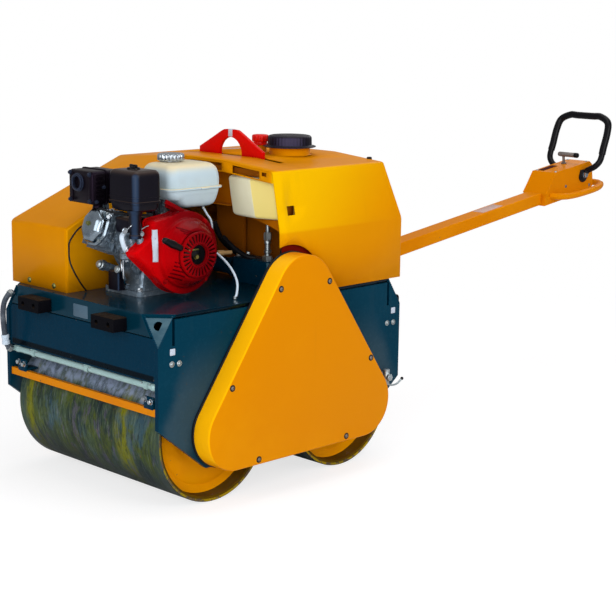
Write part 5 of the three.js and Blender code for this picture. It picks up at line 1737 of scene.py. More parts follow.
@dataclass
class Hood(Assembly):
    """The folded sheet hood: one skin with rounded bends, a slotted lip and the openings."""

    half: float = 356.0
    bottom: float = 558.3
    fold: float = 741.0
    edge: float = 910.0
    crown: float = 926.0
    edge_x: float = 322.0
    crown_x: float = 120.0
    front: float = -38.0
    rear: float = 476.0
    rear_top: float = 425.0
    nose: float = -452.0
    nose_top: float = -74.0
    nose_inner: float = -84.0
    slot: tuple[float, float, float] = (220.0, 88.0, 112.0)
    window: tuple[float, float, float, float] = (0.0, 30.0, 786.0, 812.0)
    arch: tuple[float, float] = (571.0, 133.0)
    wall: float = 3.0

    def roof(self, x: Array) -> Array:
        """Roof height: flat to the crown line, then straight down to the edge."""
        share = np.clip((np.abs(x) - self.crown_x) / (self.edge_x - self.crown_x), 0, 1)
        return self.crown - share * (self.crown - self.edge)

    def skin(self) -> Surface:
        """All the panels on shared lines, so that every bend is one edge.

        A leaning side point at share t and station y is x = half - (half - edge_x) t and
        z = fold + (edge - fold) t; the first and last stations move with t as well.

        Returns:
            The open sheet.
        """
        rise = self.edge - self.fold
        t = np.array([0.0, *[(z - self.fold) / rise for z in self.window[2:]], 1.0])
        wide = self.half - (self.half - self.edge_x) * t
        high = self.fold + rise * t
        rear = self.rear - (self.rear - self.rear_top) * t
        nose = self.nose + (self.nose_top - self.nose) * t
        stations = [self.front, *self.window[:2], *self.slot[1:]]
        across = [-self.slot[0], -self.crown_x, self.nose_inner, self.crown_x, self.slot[0]]
        left = np.stack([np.full_like(t, y) for y in stations] + [rear])
        lines = [-wide, *[np.full_like(t, x) for x in across], wide]
        inner = self.fold + (self.crown - self.fold) * t
        wall = [
            (self.nose, self.bottom), *zip(nose, inner), (self.front, self.crown),
            (self.front, self.bottom),
        ]
        # the roof's lifting slot stays open, and the roof starts behind the nose's mouth
        slot_row = len(stations) - 1
        x, y = np.meshgrid(
            [-self.edge_x, *across, self.edge_x], [self.nose_top, *stations, self.rear_top],
            indexing="ij"
        )
        roof = lattice(
            np.stack([x, y, self.roof(x)], axis=-1),
            skip=lambda i, j: (j == 0 and i >= 3) or (j == slot_row and 1 <= i <= 4),
        )
        return joined([
            self._sheet(wide, left, high, lambda i, j: (i, j) == (1, 1)),
            self._sheet(-wide, np.vstack([nose, left]), high),
            *self._end(lines, rear, self.rear, t),
            *self._end(lines[:4], nose, self.nose, t),
            self._flat(self.nose_inner, wall),
            roof,
            self._flat(self.half, self.left_outline(stations)),
            self._sheet(-self.half, np.array([self.nose, *stations, self.rear])[:, None], self._foot()),
        ])

    def _foot(self) -> Array:
        """Heights of the upright panels' two edges."""
        return np.array([self.bottom, self.fold])

    def _end(self, lines: Sequence[Array], leaning: Array, foot: float, t: Array) -> list[Surface]:
        """An end of the hood: its leaning part up to the roof and the upright part below it.

        Args:
            lines: X of each line at each share.
            leaning: Y of the leaning part at each share.
            foot: Y of the upright part.
            t: The shares of the way up from the fold.

        Returns:
            The two parts.
        """
        xs = np.stack(lines)
        z = self.fold + (self.roof(xs[:, -1])[:, None] - self.fold) * t
        low = xs[:, :1].repeat(2, axis=1)
        return [self._sheet(xs, leaning, z), self._sheet(low, foot, self._foot())]

    def _sheet(self, x: Any, y: Any, z: Any, skip: Skip | None = None) -> Surface:
        """A grid of faces from the three coordinates, each spread over the others' shape."""
        return lattice(np.stack(np.broadcast_arrays(x, y, z), axis=-1), skip=skip)

    def _flat(self, x: float, outline: Sequence[tuple[float, float]]) -> Surface:
        """One polygon in the plane at x."""
        flat = np.array([(x, y, z) for y, z in outline], float)
        return Surface(flat, [tuple(range(len(flat)))])

    def left_outline(self, stations: Sequence[float]) -> list[tuple[float, float]]:
        """The upright left panel in (Y, Z): cut in an arch that clears the chain cover."""
        z, r = self.arch
        lean = math.radians(36.69)
        angles = np.linspace(lean, math.acos(self.front / r), 22)
        cut = [(r * math.cos(a), z + r * math.sin(a)) for a in angles]
        foot = (cut[0][0] + (cut[0][1] - self.bottom) * math.tan(lean), self.bottom)
        top = [(y, self.fold) for y in stations] + [(self.rear, self.fold)]
        return [(self.rear, self.bottom), *top[::-1], *cut[::-1], foot]

    def lip(self) -> Surface:
        """The slotted band under the roof's front edge, as a grid with its slots left open."""
        xs = [self.nose_inner + 1, -31, 109, 120, 154, 268, 277, 297, self.edge_x - 4]
        x, drop = np.meshgrid(xs, [1.0, 8.0, 19.0, 30.0, 34.0], indexing="ij")
        lean = (drop - 1) * 0.2 * (x > self.edge_x - 10)
        slots = {(1, 1), (1, 2), (4, 1), (4, 2), (6, 1)}
        return self._sheet(x + lean, self.front + 0.4, self.roof(x) - drop, lambda i, j: (i, j) in slots)

    def interior(self) -> None:
        """What shows through the openings: partition, arch, sheets of painted shade and the water tank,
        all in paint darkened as painted shade.
        """
        shelf = np.array([
            (200, 766), (346, 765), (351, 741), (343, 724), (301, 732), (270, 743), (188, 761),
            (108, 764.5),
        ])
        partition = [
            slab((-78, 16, 792), (106, 20, 921), 1.0), slab((-78, -6, 789.5), (106, 20, 793), 1.0),
            pressed(shelf, [(0, 13), (0, 17)], Axis.Y),
        ]
        # the partition takes painted shade
        self.own("hood_partition", joined(partition), Paints.inner)
        # a sheet of painted shade just inside the arch cut
        ring = np.concatenate([arc((0, 0), 138, 0.0, 1.72, 30), arc((0, 0), 104, 0.0, 1.72, 30)[::-1]])
        liner = pressed(ring, [(0, 341), (0, 344)], Axis.X, (0, 0, self.arch[0]))
        self.own("arch_shade_sheet", liner, Paints.arch)
        # sheets of painted shade behind the lip's slots and the window, and two inner walls
        liner = [
            slab((-78, -26, 889), (296, -23, 908), 1.0),
            slab((self.edge_x + 4, -8, 776), (self.edge_x + 6, 40, 814), 1.0),
            slab((-74, 110, 566), (-70, 420, 905), 1.0),
            slab((-70, 196, 560), (318, 200, 900), 1.0),
        ]
        self.own("hood_shade_sheets", joined(liner), Paints.gloom)
        # the water tank takes painted shade
        rings = [
            (4, 4, 4, 2, 14, 600), (0, 0, 0, 0, 18, 612), (0, 0, 0, 0, 18, 880), (4, 4, 4, 2, 14, 893)
        ]
        self.own("water_tank", moulded(fitted((-64, 304, 120, 192), rings)), Paints.gloom)

    def screws(self) -> None:
        """The screws along the hood's foot."""
        spots = [(-265, self.nose, 573), (-145, self.nose, 571)]
        self.own("nose_screws", placed(button_screw(8.5, 4.5), spots, FORWARD), Paints.brass)
        screw = button_screw(7.5, 4)
        spots = [(x, self.rear, 590) for x in (-300, -100, 100, 300)]
        self.own("rear_panel_screws", placed(screw, spots, REARWARD), Paints.zinc)
        spots = [(-self.half, y, 584) for y in (-400, -200, 60, 260, 440)]
        self.own("side_panel_screws", placed(screw, spots, RIGHT), Paints.zinc)

    def build(self) -> None:
        """Builds the skin, lip, necks, interior and screws."""
        nodes = ("hood_left_panel", "hood_right_panel", "hood_rear_panel", "hood_roof")
        skin = self.own("hood_skin", self.skin(), Paints.hood, *nodes, sharp=60)
        rounded(skin, "bends", 7, 4, 8)
        thickened(skin, "sheet", self.wall)
        self.own("hood_lip", self.lip(), Paints.hood, wall=self.wall)
        water = [(64, 925.4), (62.4, 928.5), (61, 931), (61, 947), (56, 947), (56, 920)]
        oil = [(20.6, 925.6), (19, 928), (19, 947), (15, 947), (15, 920)]
        necks = [turned(water, Axis.Z, WATER_FILLER, 64), turned(oil, Axis.Z, OIL_FILLER, 40)]
        self.own("filler_necks", joined(necks), Paints.hood)
        self.interior()
        self.screws()


@dataclass
class RoofFittings(Assembly):
    """Lifting eye, filler caps and the oil tank seen in the hood's mouth."""

    thick: tuple[float, float] = (94.0, 106.0)
    crown: float = 926.0
    hole: float = 50.0
    cap_z: float = 948.3

    def eye(self) -> None:
        """The red lifting plate: an arch in (X, Z), with its tape, and its legs below the roof in
        painted shade.
        """
        hole = arc((0, self.crown + 2), self.hole, math.pi, 0, 26)
        half = [(140, 942), (88, 969.5), (36, 997), (22, 1000.2), (12, 1001)]
        curve = smooth_path([*half, *[(-x, z) for x, z in half[::-1]]], 40)
        outline = np.array([(-140, 896), (-50, 896), *hole, (50, 896), (140, 896), *curve])
        plate = pressed(outline, rounded_steps(*self.thick, 1.2, 3), Axis.Y)
        self.own("lifting_plate", plate, Paints.hook, "lifting_eye", sharp=40)
        y0, y1 = self.thick
        # the legs inside the hood take painted shade instead of the plate's red
        legs = [slab((-60, y0, 558.3), (60, y1, 868), 1.0), slab((-140, y0, 862), (140, y1, 897), 1.0)]
        self.own("lifting_legs", joined(legs), Paints.gloom)
        tape = slab((-9, y0 - 0.6, 979.5), (9, y1 + 0.6, 1001.5), 0.8)
        self.own("lifting_plate_tape", tape, Paints.label)

    def marks(self) -> None:
        """A blank label that lies on the roof's slope, and the rubber stop behind the fillers."""
        x, y = np.meshgrid(np.linspace(-205, -125, 5), np.linspace(222, 286, 3), indexing="ij")
        sheet = np.stack([x, y, self.crown + 0.6 - (np.abs(x) - 120) * 16 / 202], axis=-1)
        self.own("blank_roof_label", lattice(sheet), Paints.faded_label, wall=0.5)
        knob = turned([(0, 920), (6, 920), (8, 918), (8, 911)], Axis.Z, (266, 420, 0), 24)
        self.own("roof_stop", knob, Paints.rubber)

    def caps(self) -> None:
        """The ribbed water filler cap and the small red oil cap."""

        def ribs(angle: Array, radius: Array) -> Array:
            """Fine grip ribs on the cap's wall only."""
            return np.where((radius > 61) & (radius < 70), 0.3 * np.cos(40 * angle), 0.0)

        def flutes(angle: Array, radius: Array) -> Array:
            """Coarse flutes on the widest part."""
            return np.where(radius > 23, 0.9 * np.cos(14 * angle), 0.0)

        water = [
            (0, 0), (76, 0), (79, 1), (79.5, 2.5), (77, 3.6), (69, 4.4), (66.5, 7), (66, 27), (65, 31),
            (62, 34), (58, 35), (55, 35.2), (53.5, 34.2), (50, 34.2), (48.5, 35.4), (30, 36), (0, 36),
        ]
        oil = [
            (0, 0), (23.4, 0), (24, 1), (24, 3.4), (21.5, 5), (21, 9), (24, 11), (24.8, 12), (24.8, 26),
            (24, 29), (21, 30.6), (0, 31),
        ]
        water, oil = ([(r, self.cap_z + s) for r, s in profile] for profile in (water, oil))
        cap = turned(water, Axis.Z, WATER_FILLER, 240, ribs)
        self.own("water_filler_cap", cap, Paints.cap, "water_cap")
        cap = turned(oil, Axis.Z, OIL_FILLER, 112, flutes)
        self.own("oil_filler_cap", cap, Paints.red_plastic, "oil_cap")

    def tank(self) -> None:
        """The cream oil tank: a flared moulding in rows with rounded ends, and its neck.

        Each row is the tank's own outline, taken linearly from the top row to the low one
        and drawn in where the ends are rounded.
        """
        top = np.array([(113, -18), (212, -26), (300, 6), (300, 93.7), (113, 93.7)], float)
        low = np.array([(138, -20), (240, -28), (322, 6), (322, 93.7), (138, 93.7)], float)
        rows = [
            (0.0, 22.0, 0.0), (0.0, 11.0, 0.004), (0.012, 6.0, 0.02), (0.035, 2.6, 0.05),
            (0.07, 0.6, 0.09), (0.5, 0.0, 0.5), (0.93, 0.6, 0.91), (0.965, 2.6, 0.95),
            (0.988, 6.0, 0.98), (1.0, 11.0, 0.996), (1.0, 22.0, 1.0),
        ]
        outlines = [softened_corners(inset(top + (low - top) * k, draw), 5) for k, draw, _ in rows]
        body = lofted(outlines, [884 - 117 * k for _, _, k in rows], Axis.Z)
        self.own("oil_tank_moulding", body, Paints.cream, "oil_tank", sharp=50)
        neck = turned([(22, 0), (22, 9), (17, 10), (17, 4)], Axis.Z, count=28)
        self.own("oil_tank_neck", neck.at((225, 40, 884), UP), Paints.cream)

    def build(self) -> None:
        """Builds the eye, the label, the caps and the tank."""
        self.eye()
        self.marks()
        self.caps()
        self.tank()


# ------------------------------------------------------------------ engine


@dataclass
class Engine(Assembly):
    """The open petrol engine on the deck.

    Forms on the barrel are laid along +Y from the crankshaft and then leaned.
    """

    crank: tuple[float, float] = (-242.0, 687.0)
    barrel_x: float = 30.0
    tilt: float = 21.5
    foot_z: float = 572.0
    fan_r: float = 116.0
    fan_x: float = 150.3
    ring_x: float = 247.6
    duct: tuple[tuple[float, float], ...] = ((-180, 14), (-174, 2), (-162, -8))
    shoulder: tuple[tuple[float, float], ...] = ((-121, 20), (-121, 92), (-113, 100))
    cleaner: tuple[float, ...] = (68.0, 190.0, -421.0, -326.0)
    tank_box: tuple[float, ...] = (22.0, 165.0, -276.0, -82.0)

    def on_barrel(self, surface: Surface) -> Surface:
        """Leans a form that was laid along +Y onto the barrel's axis."""
        return surface.moved(leaned(math.pi - math.radians(self.tilt)), (self.barrel_x, *self.crank))

    def block(self) -> None:
        """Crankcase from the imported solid, with ribs, flange bolts, plugs and the low fittings."""
        self.soften("engine_block", Paints.cast, 1.4, 24)
        ribs = []
        for x in (-24, 0, 24, 48, 72):
            curve = arc(self.crank, 86.5, math.radians(150), math.radians(262), 40)
            ribs.append(swept(np.insert(curve, 0, x, axis=1), rounded_rectangle(5, 5, 2, 3)))
        for h in (-34, 0, 34):
            ribs.append(self.on_barrel(slab((-48, 62, h - 2), (48, 100, h + 2), 1.5)))
        self.own("crankcase_ribs", joined(ribs), Paints.cast)
        feet = ((-46, -324), (20, -330), (90, -326), (92, -166), (-46, -160))
        spots = [(x, y, self.foot_z) for x, y in feet]
        self.own("flange_bolts", placed(hexagon_bolt(13, 9, 10), spots, UP), Paints.chrome)
        plug = [(0, 100), (10, 100), (13.5, 101), (13.5, 113), (11, 115), (11, 120), (6, 124), (0, 124)]
        filler = turned(plug, Axis.Y, (-50, 0, 93), 24)
        drain = turned([(a * 0.8, s * 0.5 + 54) for a, s in plug], Axis.Y, (26, 0, 96), 24)
        self.own("oil_plugs", self.on_barrel(joined([filler, drain])), Paints.zinc)
        # a black box in front of the engine's foot
        unit = fitted(
            (2, 50, -372, -346), [(0, 0, 0, 0, 4, 574), (0, 0, 0, 0, 5, 626), (3, 3, 3, 3, 4, 629)]
        )
        self.own("black_box_before_foot", moulded(unit), Paints.plastic)
        rod = [(99, -392, 690), (100, -393, 660), (100, -392, 628), (96, -384, 604), (84, -362, 596)]
        pipe = [(60, -352, 690), (74, -376, 668), (84, -384, 640), (70, -366, 612), (52, -346, 604)]
        self.own("breather_pipes", joined([tube(rod, 2.6, 40), tube(pipe, 4.2, 50)]), Paints.chrome)
        sight = turned([(22, 0), (22, 5), (19, 7), (12, 7), (11, 4), (0, 4)], Axis.Z, count=28)
        self.own("oil_sight_cover", sight.at((70, -324, 640), (0, -1, -0.15)), Paints.cast)

    def head(self) -> None:
        """Polished rocker cover: a flange and a dome of eight softened sides, with its screws."""
        base = np.array([
            (1, 0.42), (0.42, 1), (-0.42, 1), (-1, 0.42), (-1, -0.42), (-0.42, -1), (0.42, -1),
            (1, -0.42),
        ])
        steps = [
            (47, 53.4, 196.3), (48, 54.4, 197.4), (48, 54.4, 200.6), (47, 53.4, 201.8),
            (43, 49.4, 202.4),
            (41.8, 48.2, 203.6), (41.6, 48, 207), (41.6, 48, 211), (40.8, 47, 216), (38.2, 44.4, 220.5),
            (34.6, 40.6, 224.4), (29.4, 35.4, 227.6), (23, 28.4, 229.9), (15, 19, 231), (8, 10, 231.3),
        ]
        outlines = [softened_corners(base * np.array([w, h]), min(w, h) * 0.17, 5) for w, h, _ in steps]
        dome = self.on_barrel(lofted(outlines, [s for _, _, s in steps], Axis.Y))
        self.own("rocker_cover_pressing", dome, Paints.polished, "rocker_cover", sharp=50)
        nut = self.on_barrel(hexagon_bolt(10, 6, 7).at((0, 230.6, 0), REARWARD))
        self.own("rocker_cover_nut", nut, Paints.brass)
        spots = [(sx * 31.54, 201.6, sz * 38.7) for sx in SIDES for sz in SIDES]
        screws = self.on_barrel(placed(hexagon_bolt(9, 5, 6), spots, REARWARD))
        self.own("rocker_cover_screws", screws, Paints.zinc)

    def ignition(self) -> None:
        """Spark plug boot and lead above the head, with its studs and the exhaust elbow."""
        boot = tube(
            [(46, -396, 770), (48, -410, 784), (46, -424, 795), (34, -430, 806)], 8.4, 30, 14, 0.08
        )
        lead = [(34, -430, 806), (60, -436, 812), (100, -424, 806), (140, -380, 800), (152, -330, 796)]
        self.own("plug_boot", joined([boot, tube(lead, 3.2)]), Paints.rubber)
        bits = [
            hexagon_bolt(15, 9).at((46, -396, 770), (0.3, -0.9, 0.4)),
            hexagon_bolt(12, 9, 9).at((80, -414, 805), (0.2, -0.9, 0.3)),
            hexagon_bolt(11, 8, 8).at((68, -414, 790), (0.5, -0.8, 0.1)),
        ]
        self.own("head_studs", joined(bits), Paints.chrome)
        elbow = tube([(0, -382, 770), (0, -400, 786), (-2, -400, 808), (-2, -392, 822)], 15, 30, 18)
        self.own("exhaust_elbow", elbow, Paints.black)

    def exhaust(self) -> None:
        """Muffler with a rolled seam, pressed guard, louvres, outlet and screws."""
        rings = [
            (5, 5, 5, 5, 8, -440), (1.6, 1.6, 1.6, 1.6, 9, -437), (0, 0, 0, 0, 10, -431),
            (0, 0, 0, 0, 10, -394),
            (-3, -3, -3, -3, 12, -393), (-3, -3, -3, -3, 12, -389), (0, 0, 0, 0, 10, -388),
            (0, 0, 0, 0, 10, -349), (3, 3, 3, 3, 9, -342),
        ]
        shell = moulded(fitted((-83, 27, 819, 912), rings), Axis.Y)
        self.own("muffler_shell", shell, Paints.black, "muffler", sharp=44)
        port = [
            (26, -438), (26, -442), (24, -443), (24, -447), (22.6, -448), (18.4, -448), (17, -446.6),
            (17, -400), (0, -398),
        ]
        self.own("muffler_outlet", turned(port, Axis.Y, (-38, 0, 878), 48), Paints.outlet)
        guard = [slab((27.6, -434, 826), (30.4, -400, 905), 1.0)]
        guard += [slab((x, -441.4, 826), (x + 8, -439, 905), 1.0) for x in (-70, 10)]
        guard += [slab((30.2, -430, z), (32.2, -404, z + 4), 1.0) for z in range(834, 900, 12)]
        self.own("muffler_guard", joined(guard), Paints.black)
        front = placed(
            hexagon_bolt(9, 5, 7), [(x, -440.6, z) for x in (-72, 16) for z in (828, 903)], FORWARD
        )
        side = placed(hexagon_bolt(8, 5, 6), [(30.4, -404, 868), (30.4, -430, 828)], LEFT)
        self.own("muffler_screws", joined([front, side]), Paints.outlet)

    def air_cleaner(self) -> None:
        """Air cleaner with its seams, bowl and wing nut, and the duct below it."""
        body = [
            (0, 0, 0, 0, 16, 838), (0, 0, 0, 0, 17, 905), (0.6, 0.6, 0.6, 0.6, 17, 912),
            (3, 3, 3, 3, 16, 918),
            (8, 8, 8, 8, 13, 922.5), (18, 18, 18, 18, 9, 924),
        ]
        seam = [
            (0, 0, 0, 0, 16, 834), (-2, -2, -2, -2, 17, 835), (-2, -2, -2, -2, 17, 839),
            (0, 0, 0, 0, 16, 840.5)
        ]
        bowl = [
            (3, 3, 3, 3, 16, 836), (4, 3, 3, 4, 16, 826), (7, 5, 5, 6, 16, 816),
            (14, 10, 10, 12, 15, 812)
        ]
        low = [(-1, -1, -1, -1, 16, 849), (-1, -1, -1, -1, 16, 851.5)]
        forms = [moulded(fitted(self.cleaner, rings), count=9) for rings in (body, seam, bowl, low)]
        self.own("air_cleaner_moulding", joined(forms), Paints.plastic, "air_cleaner", sharp=40)
        profile = [
            (14, 738), (17.4, 738.5), (17.4, 747), (15.6, 749), (15.6, 758), (17, 760), (17, 800),
            (19, 804),
            (22, 816),
        ]
        neck = turned(profile, Axis.Z, (160, -398, 0), 36)
        rings = [(0, 0, 0, 0, 9, 92), (3, 3, 3, 3, 9, 156), (8, 8, 8, 8, 8, 160)]
        arm = moulded(fitted((749, 793, -410, -370), rings)).moved(np.eye(3)[::-1])
        self.own("intake_duct", joined([neck, arm]), Paints.plastic, sharp=40)
        knob = [(0, 923), (19, 923), (19, 926), (17, 929), (11, 930), (10, 933), (0, 934)]
        wing = slab((112, -379, 928), (144, -373, 937), 2.5)
        nut = joined([turned(knob, Axis.Z, (128, -376, 0), 36), wing])
        self.own("air_cleaner_nut", nut, Paints.grip)

    def carburettor(self) -> None:
        """Carburettor body and bowl with its springs and links, and the breather's elbow."""
        rings = [(2, 2, 4, 4, 7, 700), (0, 0, 0, 0, 8, 712), (0, 0, 0, 0, 8, 742), (4, 4, 6, 6, 7, 752)]
        bowl = [(0, 672), (14, 672), (19, 676), (20, 684), (20, 698), (23, 699), (23, 704)]
        parts = [
            moulded(fitted((62, 152, -408, -362), rings)), turned(bowl, Axis.Z, (108, -386, 0), 32),
            turned([(9.5, 712), (10, 714), (10, 736), (8, 738), (0, 738)], Axis.Z, (160, -381, 0), 24),
            moulded([(40, 66, -402, -362, 5, 704), (40, 66, -402, -362, 5, 756)]),
        ]
        self.own("carburettor", joined(parts), Paints.cast)
        bits = [
            hexagon_bolt(11, 9, 8).at((163, -436, 764), (1, -0.5, 0)),
            hexagon_bolt(11, 9, 8).at((165, -381, 750), (1, -0.5, 0)),
            hexagon_bolt(10, 7).at((108, -386, 672), (0, 0, -1)),
            coil((165, -381, 746), (165, -382, 716), 4.0, 0.9, 7),
            tube([(163, -430, 764), (168, -418, 776), (160, -396, 782)], 1.6, 24, 8),
            tube([(150, -404, 724), (156, -424, 716), (152, -428, 700), (120, -414, 694)], 1.5, 30, 8),
        ]
        self.own("carburettor_fittings", joined(bits), Paints.chrome)
        route = [
            (132, -412, 752), (146, -432, 748), (151, -436, 736), (150, -428, 716), (146, -418, 704)
        ]
        self.own("breather_elbow", tube(route, 6.6, 44, 16), Paints.hose)

    def governor(self) -> None:
        """The governor's bracket and levers, with a spring and its links."""
        plate = moulded([(60, 120, -352, -300, 8, 780), (60, 120, -352, -300, 8, 784)])
        levers = [
            slab((126, -350, 786), (150, -300, 790), 1.5), slab((142, -336, 776), (148, -284, 786), 2.0),
            slab((120, -330, 800), (150, -322, 818), 2.0), slab((138, -318, 790), (150, -310, 806), 2.0),
        ]
        self.own("governor_bracket", joined([plate, *levers]), Paints.black)
        bits = [
            coil((178, -348, 774), (178, -316, 771), 3.4, 0.9, 8),
            tube([(178, -316, 771), (176, -300, 772), (160, -284, 776)], 1.6, 24, 8),
            tube([(178, -348, 774), (170, -366, 770), (164, -380, 762)], 1.6, 24, 8),
            hexagon_bolt(12, 6, 9).at((150, -330, 818), (0.3, -0.3, 1)),
            hexagon_bolt(10, 6, 7).at((150, -306, 786), (1, -0.3, 0.2)),
            tube([(150, -328, 820), (140, -318, 812), (118, -312, 806), (96, -330, 796)], 2.0, 30, 8),
        ]
        self.own("governor_links", joined(bits), Paints.chrome)

    def tank(self) -> None:
        """Milky fuel tank in two halves with a welded seam, its sump, the ribbed cap and the brace."""
        upper = [
            (2, 2, 2, 2, 24, 858), (1, 1, 1, 1, 25, 880), (2, 2, 2, 3, 26, 898), (5, 5, 5, 7, 26, 912),
            (11, 11, 11, 16, 25, 922), (20, 20, 20, 27, 20, 927), (34, 34, 34, 42, 14, 929),
            (60, 60, 70, 80, 6, 929.4),
        ]
        lower = [
            (1, 1, 1, 1, 24, 864), (1.6, 1.6, 2, 2, 24, 852), (4, 4, 6, 5, 23, 840),
            (10, 10, 14, 10, 20, 830),
            (20, 20, 26, 20, 16, 827.4),
        ]
        sump = [
            (4, 3, 30, 4, 22, 844), (6, 8, 40, 8, 22, 824), (10, 14, 54, 14, 20, 811),
            (18, 24, 68, 24, 16, 804.5),
        ]
        seam = [
            (-3, -3, -3, -3, 26, 855.6), (-5.4, -5.4, -5, -5.4, 27, 857),
            (-5.4, -5.4, -5, -5.4, 27, 861),
            (-3, -3, -3, -3, 26, 862.4),
        ]
        rows = ((upper, 26), (lower, 16), (sump, 12), (seam, 0))
        forms = [moulded(fitted(self.tank_box, rings), rows=count, count=9) for rings, count in rows]
        end = self.tank_box[1]
        forms.append(slab((end + 4, -170, 856.6), (end + 10, -140, 861.4), 2))
        self.own("fuel_tank_moulding", joined(forms), Paints.white, "fuel_tank", sharp=46)

        def ribs(angle: Array, radius: Array) -> Array:
            """Scalloped grip on the cap's wall."""
            return np.where((radius > 35) & (radius < 40), 2.6 * np.abs(np.cos(9 * angle)) - 1.5, 0.0)

        profile = [
            (0, 929.6), (31, 929.6), (33, 931), (33, 932.4), (37.4, 933), (38, 934.4), (38, 947),
            (36.6, 950.6), (33, 952.6), (28, 953), (26, 951.6), (20, 951.6), (18, 953), (0, 953.6),
        ]
        cap = turned(profile, Axis.Z, (72, -197, 0), 216, ribs)
        self.own("fuel_filler_cap", cap, Paints.chrome, "fuel_cap", sharp=40)
        long = [(176, -304, 834), (177, -280, 822), (177, -250, 806), (176, -218, 790), (174, -196, 782)]
        short = [(160, -290, 822), (160, -262, 808), (160, -236, 794)]
        bars = [swept(smooth_path(route, 40), rounded_rectangle(12, 5, 2, 4)) for route in (long, short)]
        self.own("tank_brace", joined(bars), Paints.red, sharp=44)

    def rim(self, angle: Array, radius: float, corners: Sequence[tuple[float, float]]) -> Array:
        """Radius of the convex hull of a circle and some corners, seen from the circle's centre.

        At each angle it is the least of h(b) / cos(b - angle) over directions b, where h is
        the hull's reach along b: the larger of the circle's radius and the corners' reaches.

        Args:
            angle: Where it is wanted.
            radius: The circle's radius.
            corners: The corners, from the circle's centre.

        Returns:
            The radius at each angle.
        """
        b = np.linspace(-math.pi, math.pi, 720, endpoint=False)
        y, z = np.array(corners, float).T
        reach = np.maximum(radius, (np.cos(b)[:, None] * y + np.sin(b)[:, None] * z).max(1))
        cosine = np.cos(b[None, :] - angle[:, None])
        return np.where(cosine > 0.02, reach[None, :] / np.maximum(cosine, 0.02), np.inf).min(1)

    def shroud_rows(self, angle: Array) -> tuple[Array, Array]:
        """Rows of the fan cover as (radius, x) at each angle.

        Where a duct or shoulder stands out past the fan's circle, the first rows follow its
        outline up to its own face; the others run over the fan's rounded edge and up the
        starter's cone.

        Args:
            angle: The angles.

        Returns:
            Radius and x, each as (rows, angles).
        """
        duct, shoulder = self.rim(angle, 114, self.duct), self.rim(angle, 112, self.shoulder)
        x0, r0 = self.fan_x, self.fan_r
        out = np.maximum(np.maximum(duct, shoulder), r0)
        ease = np.clip((out - r0) / 14, 0, 1)
        ease = ease * ease * (3 - 2 * ease)
        face = x0 + 32 + 5 * np.clip((shoulder - duct) / 8 + 0.5, 0, 1)
        rows = [(out + 3, x0), (out + 3, x0 + 2.6), (out + 0.4, x0 + 3.2)]
        # share drawn in, rounding, depth of the fan's own edge, depth below the duct's face
        for draw, turn, edge, below in (
            (0.02, 0, 32, 9), (0.03, 2.4, 34, 3.4), (0.035, 6, 36, 0.6), (0.04, 11, 38, 0),
        ):
            reach = out * (1 - draw * ease) - turn * ease
            rows.append((reach, (x0 + edge) * (1 - ease) + (face - below) * ease))
        reach = (r0 + 3) * ease + (r0 - 3) * (1 - ease)
        rows.append((reach, (x0 + 39.4) * (1 - ease) + (face + 1) * ease))
        rows += [
            (109, 190.4), (101, 190.8), (99.4, 191.4), (98.6, 193), (97.6, 199), (96.4, 202),
            (94.4, 204.2),
            (92, 206.2), (90, 209), (87, 216), (83, 223), (78.5, 230), (75, 234.8), (72.4, 237.4),
            (69.6, 238.3), (66.6, 238.3), (65.4, 237), (65, 232), (64.6, 219),
        ]
        radius, x = ([np.broadcast_to(row[k], angle.shape) for row in rows] for k in (0, 1))
        return np.stack(radius), np.stack(x)

    def on_shroud(self, y: Array, z: Array, lift: float) -> Surface:
        """A sheet on the fan cover's front.

        Each point's radius falls between two rows at its angle, and x is taken linearly
        between them.

        Args:
            y: Y of each point.
            z: Z of each point.
            lift: How far they stand off.

        Returns:
            The sheet.
        """
        a, b = y - self.crank[0], z - self.crank[1]
        angle, radius = np.arctan2(b, a).ravel(), np.hypot(a, b).ravel()
        r, x = self.shroud_rows(angle)
        k = np.clip((r[3:] > radius).sum(0) + 3, 4, len(r) - 1)
        pick = np.arange(len(radius))
        r0, r1, x0, x1 = r[k - 1, pick], r[k, pick], x[k - 1, pick], x[k, pick]
        share = np.clip((r0 - radius) / np.maximum(r0 - r1, 1e-6), 0, 1)
        return lattice(np.stack([(x0 + (x1 - x0) * share + lift).reshape(y.shape), y, z], axis=-1))

    def fan(self) -> None:
        """Red fan cover with its bolts, blank label and vents."""
        y, z = self.crank
        angle = np.linspace(-math.pi, math.pi, 288, endpoint=False)
        r, x = self.shroud_rows(angle)
        grid = np.stack([x, y + r * np.cos(angle), z + r * np.sin(angle)], axis=-1)
        self.own("fan_cover_pressing", lattice(grid, wrap=True), Paints.red, "fan_cover", sharp=44)
        self.starter()
        head, bosses = hexagon_bolt(10, 6, 7.5), []
        for k, turn in enumerate((0.9, 3.9, 5.4)):
            bosses.append(head.at((190.8, y + 106 * math.cos(turn), z + 106 * math.sin(turn)), LEFT, k))
        self.own("fan_cover_bolts", joined(bosses), Paints.red_bolt)
        yy, zz = np.meshgrid(np.linspace(-358.5, -343.5, 7), np.linspace(672, 761, 29), indexing="ij")
        self.own("blank_fan_label", self.on_shroud(yy, zz, 1.6), Paints.label, wall=0.7)
        vents = []
        # how many, first y and z, step in y and z, length, half height, slope
        for count, y0, z0, dy, dz, long, half, slope in (
            (5, -318, 668, 0, -11, 32, 2.2, -0.35), (3, -292, 758, 3, -7, 34, 2, -0.4),
        ):
            along, across = np.meshgrid(
                np.linspace(0, long, 9), np.linspace(-half, half, 4), indexing="ij"
            )
            high = z0 + (along - 16) * slope
            for k in range(count):
                vents.append(self.on_shroud(y0 + along + dy * k, across + high + dz * k, 0.3))
        self.own("fan_cover_vents", joined(vents), Paints.vent, wall=0.5)

